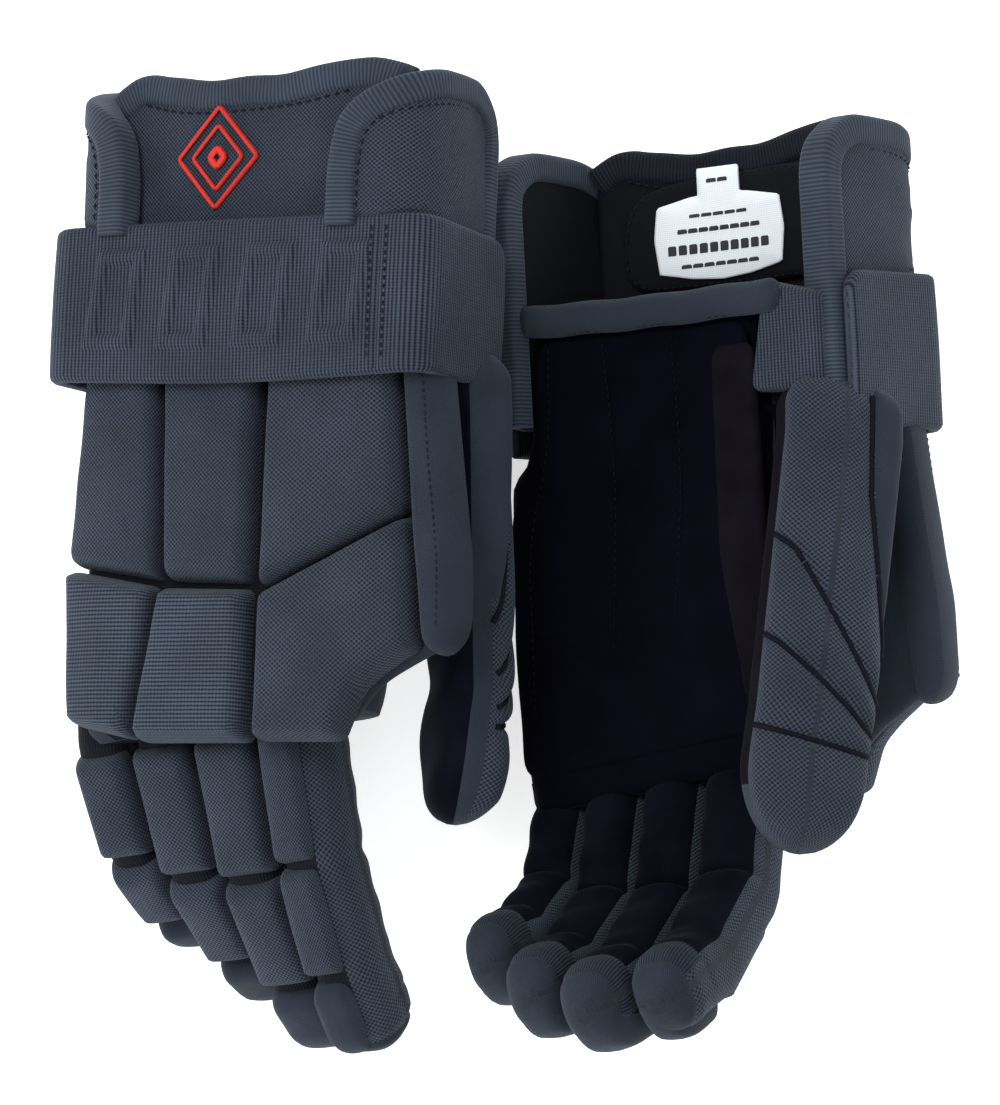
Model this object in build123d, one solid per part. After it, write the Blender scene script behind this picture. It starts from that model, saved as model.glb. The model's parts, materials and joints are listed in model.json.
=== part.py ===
"""A pair of ball-hockey gloves lying on a table, in millimetres.

The right glove lies palm down and the left one palm up. Both are built by one set of functions
in a glove frame: x points to the thumb side, y to the cuff and z out of the back of the hand.
y = 0 is the lower edge of the wrist strap. The left glove is the right one mirrored in z.
The table is z = 0, and the origin is under the middle of the pair.
"""
from build123d import *
from math import cos, radians, sin, tan
import os

os.makedirs("parts", exist_ok=True)

# ---- hand ----------------------------------------------------------------------------------
HAND_OUTER_X = -75.0            # little-finger side of the liner
HAND_THUMB_X = 32.0             # thumb side of the liner
WRIST_OUTER_X = -60.0           # the liner is narrower at the wrist
WRIST_Y = -5.0                  # where the wrist part of the liner starts
LINER_MOUTH_Y = 50.0
LINER_DEPTH = 40.0              # from the back (z = 0) down to the palm
LINER_WALL = 2.5
PALM_THICK = 3.5
PALM_INSET = 4.0                # the suede stops this far short of the thumb side
PALM_MOUTH_Y = 38.0             # wrist edge of the suede
HAND_OVERRUN = 20.0             # cut back to the knuckle openings
BACK_PAD_THICK = 16.0
PAD_EDGE = 5.0                  # rounding along a pad's upper edge
CHANNEL = 5.0                   # sewn channel between two pads
PADS_TOP_Y = -1.0               # the back pads start just under the strap
ROW_BREAK_Y = -69.0             # between the back rolls and the knuckle rolls
ROW_GAP = 4.0
ROW_END_Y = -122.0
COLUMN_X = (-72.0, -38.0, 1.0, 56.0)
FIRST_LEAN = (4.0, 2.0, -6.0)   # shift of the first channel at the rows' break, below it and at its end
OUTER_RISE = 6.0                # the rows climb towards the little-finger side
WEB_RISE = 24.0                 # and more steeply towards the thumb
WEB_CORNER = [(5.0, -92.0), (-13.0, -104.0), (-22.0, -122.0)]    # x from the last column, y
PANEL_FOOT_Y = -91.0            # lower end of the padded strip on the thumb side
PANEL_Z = (-6.0, 12.0)

# ---- knuckles and fingers ------------------------------------------------------------------
KNUCKLE_Y = -118.0              # axis of the four knuckle joints
KNUCKLE_Z = -14.0
FINGER_ABOVE = 12.0             # finger section above and below its joint axis
FINGER_BELOW = 22.0
FINGER_GAP = 0.8                # between two neighbouring fingers
FINGER_SIDE_WALL = 2.2
FINGER_TOP_WALL = 8.0
FINGER_PALM_WALL = 2.5
FINGER_EDGE = 4.5
FINGER_START_X = -78.0
FINGER_LEAN = 7.0               # the finger row is turned towards the thumb
JOINT_GAP = 0.6                 # half of the play left at a joint's axis
FINGERS = {
    "pinky": {"width": 22.0, "lengths": (38.0, 30.0, 28.0)},
    "ring": {"width": 23.5, "lengths": (46.0, 37.0, 32.0)},
    "middle": {"width": 24.5, "lengths": (49.0, 41.0, 34.0)},
    "index": {"width": 25.0, "lengths": (47.0, 39.0, 33.0)},
}
SEGMENTS = ("proximal", "middle", "distal")
# half of each joint's opening, in degrees: on the back and on the palm side
OPENING_BACK = (4.0, 2.0, 2.0)
OPENING_PALM = (31.0, 34.0, 23.0)

# ---- thumb ---------------------------------------------------------------------------------
THUMB_ROOT = (56.0, -8.0, -32.0)
THUMB_SLANT = 42.0              # turn of the thumb paddle about the glove's length
THUMB_THICK = 27.0
THUMB_WIDTH = 42.0
THUMB_HINGE_UP = 12.0           # base hinge, above the middle of the paddle
THUMB_BASE_LENGTH = 94.0
THUMB_TIP_LENGTH = 46.0
THUMB_OUTER_WALL = 8.0
THUMB_INNER_WALL = 3.0
THUMB_EDGE_WALL = 4.0
THUMB_BASE_SWING = 23.0         # room behind the base for the full swing
THUMB_TIP_AXIS = 5.0            # tip hinge, outside the middle of the paddle
THUMB_TIP_HALF_IN = 13.0
THUMB_TIP_HALF_OUT = 2.0
THUMB_EDGE = 8.0                # rounding along the paddle
THUMB_NOSE = 22.0               # length over which the tip narrows
THUMB_END_WALL = 18.0

# ---- cuff and strap ------------------------------------------------------------------------
CUFF_TOP_Y = 107.0
FLAP_FOOT_Y = 16.0
FLAP_LOW_Z = 4.0
FLAP_DIP = 6.0                  # between the two peaks of the flap's top edge
FLAP_EDGE = 3.0
CUFF_SIDE_TOP_Y = 103.0
CUFF_WALL = 10.0
CUFF_OUTER_X = -70.0
CUFF_THUMB_X = 60.0
CUFF_BACK_Z = 14.0
CUFF_LIP = 8.0
CUFF_LIP_DROP = 18.0            # the lips stop this far under the top
CUFF_CORNER = 18.0
OUTER_LIP_X, THUMB_LIP_X = -50.0, 30.0
OUTER_SIDE_LOW = (-50.0, 8.0)   # lowest z and y of each side
THUMB_SIDE_LOW = (-38.0, 4.0)
WELT_THICK = 10.0
WELT_EDGE = 4.0
LABEL_X, LABEL_Y, LABEL_THICK = (-38.0, 22.0), (60.0, 96.0), 0.8
STRAP_WIDTH = 51.0
STRAP_THICK = 5.0
STRAP_CLEAR = 3.0
STRAP_OUTER_X = -79.0
STRAP_THUMB_X = 67.5
STRAP_LEG_TOP = 15.3            # the sewn leg of the strap stops under the fold it swings open about
STRAP_LEG_FOOT = -33.0
STRAP_END_Z = -36.0             # how far down the strap reaches on the thumb side
STRAP_FOLD = 4.0                # rounding where the strap turns down
TAB_Y = (10.0, 43.0)
TAB_DROP = 11.0

# ---- how each glove lies -------------------------------------------------------------------
# Rest angles of the knuckle, middle and tip joints of each finger, and of the thumb.
RIGHT_POSE = {
    "pinky": (27.0, 32.0, 20.0), "ring": (22.0, 28.0, 19.0),
    "middle": (16.0, 21.0, 15.0), "index": (10.0, 15.0, 11.0),
    "thumb": (7.0, 8.0),
}
LEFT_POSE = {
    "pinky": (28.0, 30.0, 20.0), "ring": (26.0, 30.0, 20.0),
    "middle": (25.0, 29.0, 19.0), "index": (24.0, 27.0, 18.0),
    "thumb": (16.0, 10.0),
}
RIGHT_ROLL, RIGHT_PITCH, RIGHT_YAW = 27.0, 7.0, -2.5
LEFT_ROLL, LEFT_PITCH, LEFT_YAW = 36.0, 3.0, 3.0
RIGHT_SPOT = (-67.0, 57.0, 85.6)
LEFT_SPOT = (94.0, 37.0, 63.0)

BIG = 400.0


def block(x0, x1, y0, y1, z0, z1):
    """A box between two corners."""
    middle = Pos((x0 + x1) / 2, (y0 + y1) / 2, (z0 + z1) / 2)
    return middle * Box(x1 - x0, y1 - y0, z1 - z0)


def prism_yz(points, x0, x1):
    """A side outline in y and z, drawn out along x."""
    face = make_face(Polyline(*[(x0, y, z) for y, z in points], close=True))
    return extrude(face, amount=x1 - x0, dir=(1, 0, 0))


def prism_xy(points, z0, z1):
    """A plan outline in x and y, drawn out along z."""
    face = make_face(Polyline(*[(x, y, z0) for x, y in points], close=True))
    return extrude(face, amount=z1 - z0, dir=(0, 0, 1))


def pad(points, z0=0.0, z1=BACK_PAD_THICK, edge=PAD_EDGE):
    """A sewn pad: a plan outline with its upper edge rounded."""
    body = prism_xy(points, z0, z1)
    return fillet(body.faces().sort_by(Axis.Z)[-1].edges(), edge)


def opened(axis_y, axis_z, above, below, back_half, palm_half, side):
    """The three points of a V-shaped end: on the back, at the axis and on the palm side."""
    back = axis_y + side * (JOINT_GAP + above * tan(radians(back_half)))
    palm = axis_y + side * (JOINT_GAP + below * tan(radians(palm_half)))
    return [(back, axis_z + above), (axis_y + side * JOINT_GAP, axis_z), (palm, axis_z - below)]


# ---- parts that stay with the hand ---------------------------------------------------------
def finger_row():
    """The frame of the finger row: its origin lies on the knuckle axis, which runs along x."""
    middle = FINGER_START_X + (sum(f["width"] for f in FINGERS.values()) + 3 * FINGER_GAP) / 2
    return Pos(middle, KNUCKLE_Y, KNUCKLE_Z) * Rot(Z=FINGER_LEAN)


def hand_side(above, below):
    """Side outline of the hand, open at the knuckles so that the fingers can fold."""
    end = opened(0, 0, above, below, OPENING_BACK[0], OPENING_PALM[0], 1)
    return finger_row() * prism_yz([(BIG, -below), (BIG, above)] + end, -BIG, BIG)


def hand_liner():
    """The sewn inner glove of the hand, open at the wrist and towards the fingers."""
    far = KNUCKLE_Y - HAND_OVERRUN
    outer = block(HAND_OUTER_X, HAND_THUMB_X, far, WRIST_Y, -LINER_DEPTH, 0)
    outer += block(WRIST_OUTER_X, HAND_THUMB_X, WRIST_Y, LINER_MOUTH_Y, -LINER_DEPTH, 0)
    wall = LINER_WALL
    inside = block(HAND_OUTER_X + wall, HAND_THUMB_X - wall, far - wall, WRIST_Y,
                   wall - LINER_DEPTH, -wall)
    inside += block(WRIST_OUTER_X + wall, HAND_THUMB_X - wall, WRIST_Y - wall, BIG,
                    wall - LINER_DEPTH, -wall)
    return (outer & hand_side(-KNUCKLE_Z, LINER_DEPTH + KNUCKLE_Z)) - inside


def palm():
    """The suede palm under the liner."""
    low = -LINER_DEPTH - PALM_THICK
    edge_x = HAND_THUMB_X - PALM_INSET
    plate = block(HAND_OUTER_X, edge_x, KNUCKLE_Y - HAND_OVERRUN, WRIST_Y, low, -LINER_DEPTH)
    plate += block(WRIST_OUTER_X, edge_x, WRIST_Y, PALM_MOUTH_Y, low, -LINER_DEPTH)
    return plate & hand_side(-KNUCKLE_Z, LINER_DEPTH + KNUCKLE_Z + PALM_THICK)


def back_rolls():
    """Three long pads on the back of the hand; the thumb-side one ends on a slant."""
    outer_x, first, second, thumb_x = COLUMN_X
    gap, top, end, lean = CHANNEL / 2, PADS_TOP_Y, ROW_BREAK_Y, FIRST_LEAN[0]
    return {
        "back_roll_outer": pad([(outer_x + 3, top), (first - gap, top), (first + lean - gap, end),
                                (outer_x, end + OUTER_RISE)]),
        "back_roll_middle": pad([(first + gap, top), (second - gap, top), (second - gap, end - 1),
                                 (first + lean + gap, end)]),
        "back_roll_thumb_side": pad([(second + gap, top), (thumb_x - 5, top), (thumb_x, end + WEB_RISE),
                                     (second + gap, end - 2)]),
    }


def knuckle_rolls():
    """The pads over the knuckles; the thumb-side one covers the web of the thumb as well."""
    outer_x, first, second, thumb_x = COLUMN_X
    gap, top, end = CHANNEL / 2, ROW_BREAK_Y - ROW_GAP, ROW_END_Y
    upper, lower = first + FIRST_LEAN[1], first + FIRST_LEAN[2]
    web = [(thumb_x + x, y) for x, y in WEB_CORNER]
    return {
        "knuckle_roll_outer": pad([(outer_x - 2, top + OUTER_RISE + 1), (upper - gap, top),
                                   (lower - gap, end), (outer_x + 2, end + 5)]),
        "knuckle_roll_middle": pad([(upper + gap, top), (second - gap, top - 1), (second - gap, end),
                                    (lower + gap, end)]),
        "knuckle_roll_thumb_side": pad([(second + gap, top - 2), (thumb_x, top + WEB_RISE)] + web
                                       + [(second + gap, end)]),
    }


def thumb_side_panel():
    """The padded strip down the thumb side of the hand."""
    edge_x = COLUMN_X[3]
    outline = [(edge_x - 4, PADS_TOP_Y), (edge_x + 10, PADS_TOP_Y), (edge_x + 18, -60),
               (edge_x + 18, PANEL_FOOT_Y + 1), (edge_x + 6, PANEL_FOOT_Y), (edge_x + 1.5, -48)]
    return pad(outline, z0=PANEL_Z[0], z1=PANEL_Z[1], edge=PAD_EDGE - 1)


def cuff_back_flap():
    """The flap over the back of the wrist, with two low peaks along its top edge."""
    left, right, foot, top = CUFF_OUTER_X + CUFF_WALL, CUFF_THUMB_X - CUFF_WALL, FLAP_FOOT_Y, CUFF_TOP_Y
    outline = [(left, foot), (right, foot), (right, top - 4), (right - 14, top), (18, top - FLAP_DIP),
               (-24, top - FLAP_DIP), (left + 12, top - 2), (left, top - 8)]
    flap = pad(outline, z0=FLAP_LOW_Z, z1=CUFF_BACK_Z, edge=FLAP_EDGE)
    return flap + block(left + 10, HAND_THUMB_X - 10, foot, LINER_MOUTH_Y - 2, 0, FLAP_LOW_Z)


def cuff_side(outer_x, inner_x, lip_x, low_z, foot_y):
    """One side of the cuff: an upright wall with a lip that folds over the back flap."""
    x0, x1 = min(outer_x, inner_x), max(outer_x, inner_x)
    wall = block(x0, x1, foot_y, CUFF_SIDE_TOP_Y, low_z, CUFF_BACK_Z)
    wall = fillet(wall.edges().filter_by(Axis.X).sort_by(Axis.Y)[-2:], CUFF_CORNER)
    l0, l1 = min(outer_x, lip_x), max(outer_x, lip_x)
    lip = block(l0, l1, STRAP_WIDTH + 2, CUFF_SIDE_TOP_Y - CUFF_LIP_DROP, CUFF_BACK_Z,
                CUFF_BACK_Z + CUFF_LIP)
    return wall + lip


def cuff_sides():
    """The little-finger side and the thumb side of the cuff."""
    outer, thumb = CUFF_OUTER_X, CUFF_THUMB_X
    return {
        "cuff_side_outer": cuff_side(outer, outer + CUFF_WALL, OUTER_LIP_X, *OUTER_SIDE_LOW),
        "cuff_side_thumb": cuff_side(thumb, thumb - CUFF_WALL, THUMB_LIP_X, *THUMB_SIDE_LOW),
    }


def wrist_welt():
    """The padded roll across the palm side of the wrist."""
    end = LINER_MOUTH_Y - 1
    bar = block(WRIST_OUTER_X, HAND_THUMB_X + 4, end - WELT_THICK, end, -LINER_DEPTH - WELT_THICK,
                -LINER_DEPTH)
    return fillet(bar.edges().filter_by(Axis.X), WELT_EDGE)


def label():
    """The woven label inside the back flap."""
    return block(*LABEL_X, *LABEL_Y, FLAP_LOW_Z - LABEL_THICK, FLAP_LOW_Z)


def strap_tab():
    """The sewn end of the wrist strap: a tab and a leg up the little-finger side of the wrist."""
    foot = STRAP_LEG_FOOT
    tab = block(STRAP_OUTER_X + 1, CUFF_OUTER_X, TAB_Y[0], TAB_Y[1], foot - TAB_DROP, foot)
    inner_x = STRAP_OUTER_X + STRAP_THICK
    return tab + block(STRAP_OUTER_X, inner_x, 0, STRAP_WIDTH, foot, STRAP_LEG_TOP)


def wrist_strap():
    """The hook-and-loop strap: from the fold at the outer edge over the back and down the thumb side."""
    low = CUFF_BACK_Z + STRAP_CLEAR
    top = low + STRAP_THICK
    band = block(STRAP_OUTER_X, STRAP_THUMB_X, 0, STRAP_WIDTH, low, top)
    band += block(STRAP_THUMB_X - STRAP_THICK, STRAP_THUMB_X, 0, STRAP_WIDTH, STRAP_END_Z, top)
    return fillet(band.edges().filter_by(Axis.Y).group_by(Axis.Z)[-1], STRAP_FOLD)


# ---- fingers -------------------------------------------------------------------------------
def finger_centre(name):
    """x of a finger's middle in the finger row."""
    edge = -(sum(f["width"] for f in FINGERS.values()) + 3 * FINGER_GAP) / 2
    for other, finger in FINGERS.items():
        if other == name:
            return edge + finger["width"] / 2
        edge += finger["width"] + FINGER_GAP


def finger_frames(name, angles):
    """The frames of a finger's three sections: each starts at its joint and runs along -y."""
    frame = finger_row() * Pos(finger_centre(name), 0, 0)
    frames = []
    for length, angle in zip(FINGERS[name]["lengths"], angles):
        frame = frame * Rot(X=angle)
        frames.append(frame)
        frame = frame * Pos(0, -length, 0)
    return frames


def finger_section(width, length, number):
    """A hollow padded section of a finger, in its own frame."""
    start = opened(0, 0, FINGER_ABOVE, FINGER_BELOW, OPENING_BACK[number], OPENING_PALM[number], -1)
    last = number == 2
    if last:
        end = [(10 - length, -FINGER_BELOW), (3 - length, -15), (-length, -6), (2 - length, 4),
               (9 - length, FINGER_ABOVE)]
        inside_end = 7 - length
    else:
        end = opened(-length, 0, FINGER_ABOVE, FINGER_BELOW, OPENING_BACK[number + 1],
                     OPENING_PALM[number + 1], 1)[::-1]
        inside_end = -length - 5
    bar = block(-width / 2, width / 2, -length - 5, 5, -FINGER_BELOW, FINGER_ABOVE)
    bar = fillet(bar.edges().filter_by(Axis.Y), FINGER_EDGE)
    half = width / 2 - FINGER_SIDE_WALL
    inside = block(-half, half, inside_end, 6, FINGER_PALM_WALL - FINGER_BELOW,
                   FINGER_ABOVE - FINGER_TOP_WALL)
    return (bar & prism_yz(start + end, -BIG, BIG)) - inside


# ---- thumb ---------------------------------------------------------------------------------
def thumb_frames(angles):
    """Frames of the thumb: the base at its hinge, and the tip at its own."""
    slant = radians(THUMB_SLANT)
    hinge = Pos(*THUMB_ROOT) * Pos(THUMB_HINGE_UP * sin(slant), 0, THUMB_HINGE_UP * cos(slant))
    base = hinge * Rot(X=angles[0]) * Rot(Y=THUMB_SLANT)
    tip = base * Pos(THUMB_TIP_AXIS, -THUMB_BASE_LENGTH, -THUMB_HINGE_UP) * Rot(Z=-angles[1])
    return base, tip


def thumb_base():
    """The thumb's base: a hollow paddle that swings about a hinge across its upper edge."""
    middle_z = -THUMB_HINGE_UP
    low, high = middle_z - THUMB_WIDTH / 2, middle_z + THUMB_WIDTH / 2
    half = THUMB_THICK / 2
    bar = block(-half, half, -THUMB_BASE_LENGTH - 8, 8, low, high)
    bar = fillet(bar.edges().filter_by(Axis.Y), THUMB_EDGE)
    slope = tan(radians(THUMB_BASE_SWING))
    start = [(low * slope, low), (0, 0), (0, high)]
    rear = [(-BIG, high), (-BIG, low)]
    inner = half + THUMB_TIP_AXIS
    outer = half - THUMB_TIP_AXIS
    end_y = -THUMB_BASE_LENGTH + JOINT_GAP
    plan = [(-half, 9), (half, 9), (half, end_y + outer * tan(radians(THUMB_TIP_HALF_OUT))),
            (THUMB_TIP_AXIS, end_y), (-half, end_y + inner * tan(radians(THUMB_TIP_HALF_IN)))]
    body = (bar & prism_yz(start + rear, -BIG, BIG)) & prism_xy(plan, -BIG, BIG)
    inside = block(THUMB_INNER_WALL - half, half - THUMB_OUTER_WALL, -BIG, BIG,
                   low + THUMB_EDGE_WALL, high - THUMB_EDGE_WALL)
    return body - inside


def thumb_tip():
    """The thumb's tip section, closed and rounded at its end."""
    half = THUMB_THICK / 2
    x0, x1 = -half - THUMB_TIP_AXIS, half - THUMB_TIP_AXIS
    wide = THUMB_WIDTH / 2
    bar = block(x0, x1, -THUMB_TIP_LENGTH, THUMB_EDGE, -wide, wide)
    bar = fillet(bar.edges().filter_by(Axis.Y), THUMB_EDGE)
    end, nose = -THUMB_TIP_LENGTH, THUMB_NOSE - THUMB_TIP_LENGTH
    plan = [(x0, -JOINT_GAP + x0 * tan(radians(THUMB_TIP_HALF_IN))), (0, -JOINT_GAP),
            (x1, -JOINT_GAP - x1 * tan(radians(THUMB_TIP_HALF_OUT))),
            (x1, end + 10), (x1 - 9, end), (x0 + 9, end), (x0, end + 12)]
    side = [(10, -wide), (10, wide), (nose, wide), (end + 6, wide - 9), (end, 0), (end + 6, 9 - wide),
            (nose, -wide)]
    body = (bar & prism_xy(plan, -BIG, BIG)) & prism_yz(side, -BIG, BIG)
    inside = block(x0 + THUMB_INNER_WALL, x1 - THUMB_OUTER_WALL, end + THUMB_END_WALL, BIG,
                   THUMB_EDGE_WALL - wide, wide - THUMB_EDGE_WALL)
    return body - inside


# ---- one glove -----------------------------------------------------------------------------
def glove(pose):
    """All the solids of one glove in the glove frame, by name."""
    parts = {"hand_liner": hand_liner(), "palm": palm()}
    parts.update(back_rolls())
    parts.update(knuckle_rolls())
    parts["thumb_side_panel"] = thumb_side_panel()
    parts["cuff_back_flap"] = cuff_back_flap()
    parts.update(cuff_sides())
    parts["wrist_welt"] = wrist_welt()
    parts["label"] = label()
    parts["strap_tab"] = strap_tab()
    parts["wrist_strap"] = wrist_strap()
    for name, finger in FINGERS.items():
        frames = finger_frames(name, pose[name])
        for number, segment in enumerate(SEGMENTS):
            section = finger_section(finger["width"], finger["lengths"][number], number)
            parts[name + "_" + segment] = frames[number] * section
    base, tip = thumb_frames(pose["thumb"])
    parts["thumb_base"] = base * thumb_base()
    parts["thumb_tip"] = tip * thumb_tip()
    return parts


def right_placing():
    """The right glove: palm down, thumb side and knuckles raised."""
    return Pos(*RIGHT_SPOT) * Rot(Z=RIGHT_YAW) * Rot(X=-RIGHT_PITCH) * Rot(Y=-RIGHT_ROLL)


def left_placing():
    """The mirrored glove: palm up, thumb side raised."""
    return Pos(*LEFT_SPOT) * Rot(Z=LEFT_YAW) * Rot(X=-LEFT_PITCH) * Rot(Y=-LEFT_ROLL)


def laid_flat(shape):
    """The solid with everything below the table cut away."""
    if shape.bounding_box().min.Z < 0:
        return shape & block(-BIG, BIG, -BIG, BIG, 0, BIG)
    return shape


def pair():
    """Every solid of the pair on the table, by node name."""
    nodes = {}
    for name, shape in glove(RIGHT_POSE).items():
        nodes["right_" + name] = laid_flat(right_placing() * shape)
    for name, shape in glove(LEFT_POSE).items():
        nodes["left_" + name] = laid_flat(left_placing() * mirror(shape, about=Plane.XY))
    return nodes


def centred(nodes):
    """The same solids with the origin under the middle of the pair, and the shift in x and y."""
    boxes = [shape.bounding_box() for shape in nodes.values()]
    x = (min(b.min.X for b in boxes) + max(b.max.X for b in boxes)) / 2
    y = (min(b.min.Y for b in boxes) + max(b.max.Y for b in boxes)) / 2
    return {name: Pos(-x, -y, 0) * shape for name, shape in nodes.items()}, (-x, -y)


if __name__ == "__main__":
    for node, shape in centred(pair())[0].items():
        export_step(shape, "parts/" + node + ".step")
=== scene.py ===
"""The looks of a pair of ball-hockey gloves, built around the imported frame.

Lengths are millimetres in the glove frame (x to the thumb side, y to the cuff, z out of the back of
the hand) until place() turns them into metres on the table. Both gloves come from the same
functions; the left one is mirrored in z.
"""
import json
import math

import bpy
import numpy as np
from mathutils import Matrix, Vector, noise


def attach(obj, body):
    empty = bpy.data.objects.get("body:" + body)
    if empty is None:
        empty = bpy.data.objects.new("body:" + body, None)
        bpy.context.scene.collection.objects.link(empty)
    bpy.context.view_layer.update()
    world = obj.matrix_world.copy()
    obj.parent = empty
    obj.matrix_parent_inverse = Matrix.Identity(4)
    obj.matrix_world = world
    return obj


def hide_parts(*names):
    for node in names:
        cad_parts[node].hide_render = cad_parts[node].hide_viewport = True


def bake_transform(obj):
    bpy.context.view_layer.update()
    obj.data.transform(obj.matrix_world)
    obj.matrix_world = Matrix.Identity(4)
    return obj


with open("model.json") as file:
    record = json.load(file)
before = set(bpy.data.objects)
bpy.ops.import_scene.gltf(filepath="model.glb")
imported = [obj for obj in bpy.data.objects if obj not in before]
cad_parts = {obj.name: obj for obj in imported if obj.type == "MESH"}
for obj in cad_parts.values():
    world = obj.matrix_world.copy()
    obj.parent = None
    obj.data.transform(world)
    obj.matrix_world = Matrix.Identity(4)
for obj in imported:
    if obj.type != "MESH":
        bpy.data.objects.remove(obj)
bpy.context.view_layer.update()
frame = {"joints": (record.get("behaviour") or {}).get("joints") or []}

MM = 0.001
ON_TABLE = 0.0003               # nothing goes lower than this
SIDES = ("right", "left")

# ---- the frame's own dimensions --------------------------------------------------------------
FINGER_WIDTH = {"pinky": 22.0, "ring": 23.5, "middle": 24.5, "index": 25.0}
FINGER_LENGTHS = {"pinky": (38.0, 30.0, 28.0), "ring": (46.0, 37.0, 32.0),
                  "middle": (49.0, 41.0, 34.0), "index": (47.0, 39.0, 33.0)}
SEGMENTS = ("proximal", "middle", "distal")
FINGER_GAP, ROW_START, ROW_Y, ROW_Z, ROW_LEAN = 0.8, -78.0, -118.0, -14.0, 7.0
ROW_WIDTH = sum(FINGER_WIDTH.values()) + 3 * FINGER_GAP
POSE = {
    "right": {"pinky": (27, 32, 20), "ring": (22, 28, 19), "middle": (16, 21, 15),
              "index": (10, 15, 11), "thumb": (7, 8)},
    "left": {"pinky": (28, 30, 20), "ring": (26, 30, 20), "middle": (25, 29, 19),
             "index": (24, 27, 18), "thumb": (16, 10)},
}
THUMB_ROOT, THUMB_SLANT, THUMB_UP = (56.0, -8.0, -32.0), 42.0, 12.0
THUMB_BASE, THUMB_TIP, THUMB_AXIS_X = 94.0, 46.0, 5.0
OUTER_X, FIRST_X, SECOND_X, THUMB_X = -72.0, -38.0, 1.0, 56.0       # edges of the columns of pads
ROW_BREAK, ROW_END = -69.0, -122.0                                  # ends of the two rows of pads
MOUTH_Y, SHELL_LEFT, SHELL_RIGHT, SHELL_TOP, SHELL_LOW = 49.5, -73.5, 32.0, 4.0, -40.5
LINER_WALL = 2.6
STRAP_MIDDLE, STRAP_HALF = 25.5, 25.5                               # of the strap's width, along y


def turn(axis, degrees):
    return Matrix.Rotation(math.radians(degrees), 4, axis)


def shift(x, y, z):
    return Matrix.Translation((x, y, z))


def finger_row():
    """Frame of the knuckle row, with its origin on the knuckle axis."""
    return shift(ROW_START + ROW_WIDTH / 2, ROW_Y, ROW_Z) @ turn("Z", ROW_LEAN)


def finger_centre(name):
    edge = -ROW_WIDTH / 2
    for other, width in FINGER_WIDTH.items():
        if other == name:
            return edge + width / 2
        edge += width + FINGER_GAP


def finger_frames(name, angles):
    """Frames of a finger's sections, each at its joint with the section along -y."""
    at = finger_row() @ shift(finger_centre(name), 0, 0)
    frames = []
    for length, angle in zip(FINGER_LENGTHS[name], angles):
        at = at @ turn("X", angle)
        frames.append(at)
        at = at @ shift(0, -length, 0)
    return frames


def thumb_frames(angles):
    """Frames of the thumb's base and tip, each at its hinge."""
    slant = math.radians(THUMB_SLANT)
    hinge = shift(*THUMB_ROOT) @ shift(THUMB_UP * math.sin(slant), 0, THUMB_UP * math.cos(slant))
    base = hinge @ turn("X", angles[0]) @ turn("Y", THUMB_SLANT)
    return base, base @ shift(THUMB_AXIS_X, -THUMB_BASE, -THUMB_UP) @ turn("Z", -angles[1])


def placing(side):
    """Glove millimetres to metres on the table; the frame's knuckle joint fixes the spot."""
    if side == "right":
        lie = turn("Z", -2.5) @ turn("X", -7) @ turn("Y", -27)
    else:
        lie = turn("Z", 3) @ turn("X", -3) @ turn("Y", -36) @ Matrix.Scale(-1, 4, (0, 0, 1))
    knuckle = next(j["pos_m"] for j in frame["joints"] if j["name"] == side + "_index_knuckle")
    here = lie @ finger_frames("index", POSE[side]["index"])[0].translation
    spot = Vector(knuckle) / MM - here
    return Matrix.Scale(MM, 4) @ shift(*spot) @ lie


PLACE = {side: placing(side) for side in SIDES}


def carried(matrix, points):
    m = np.array(matrix)
    return np.asarray(points, float) @ m[:3, :3].T + m[:3, 3]


def place(side, points):
    """Points of a glove, in millimetres, as points on the table in metres."""
    return carried(PLACE[side], points)


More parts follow.
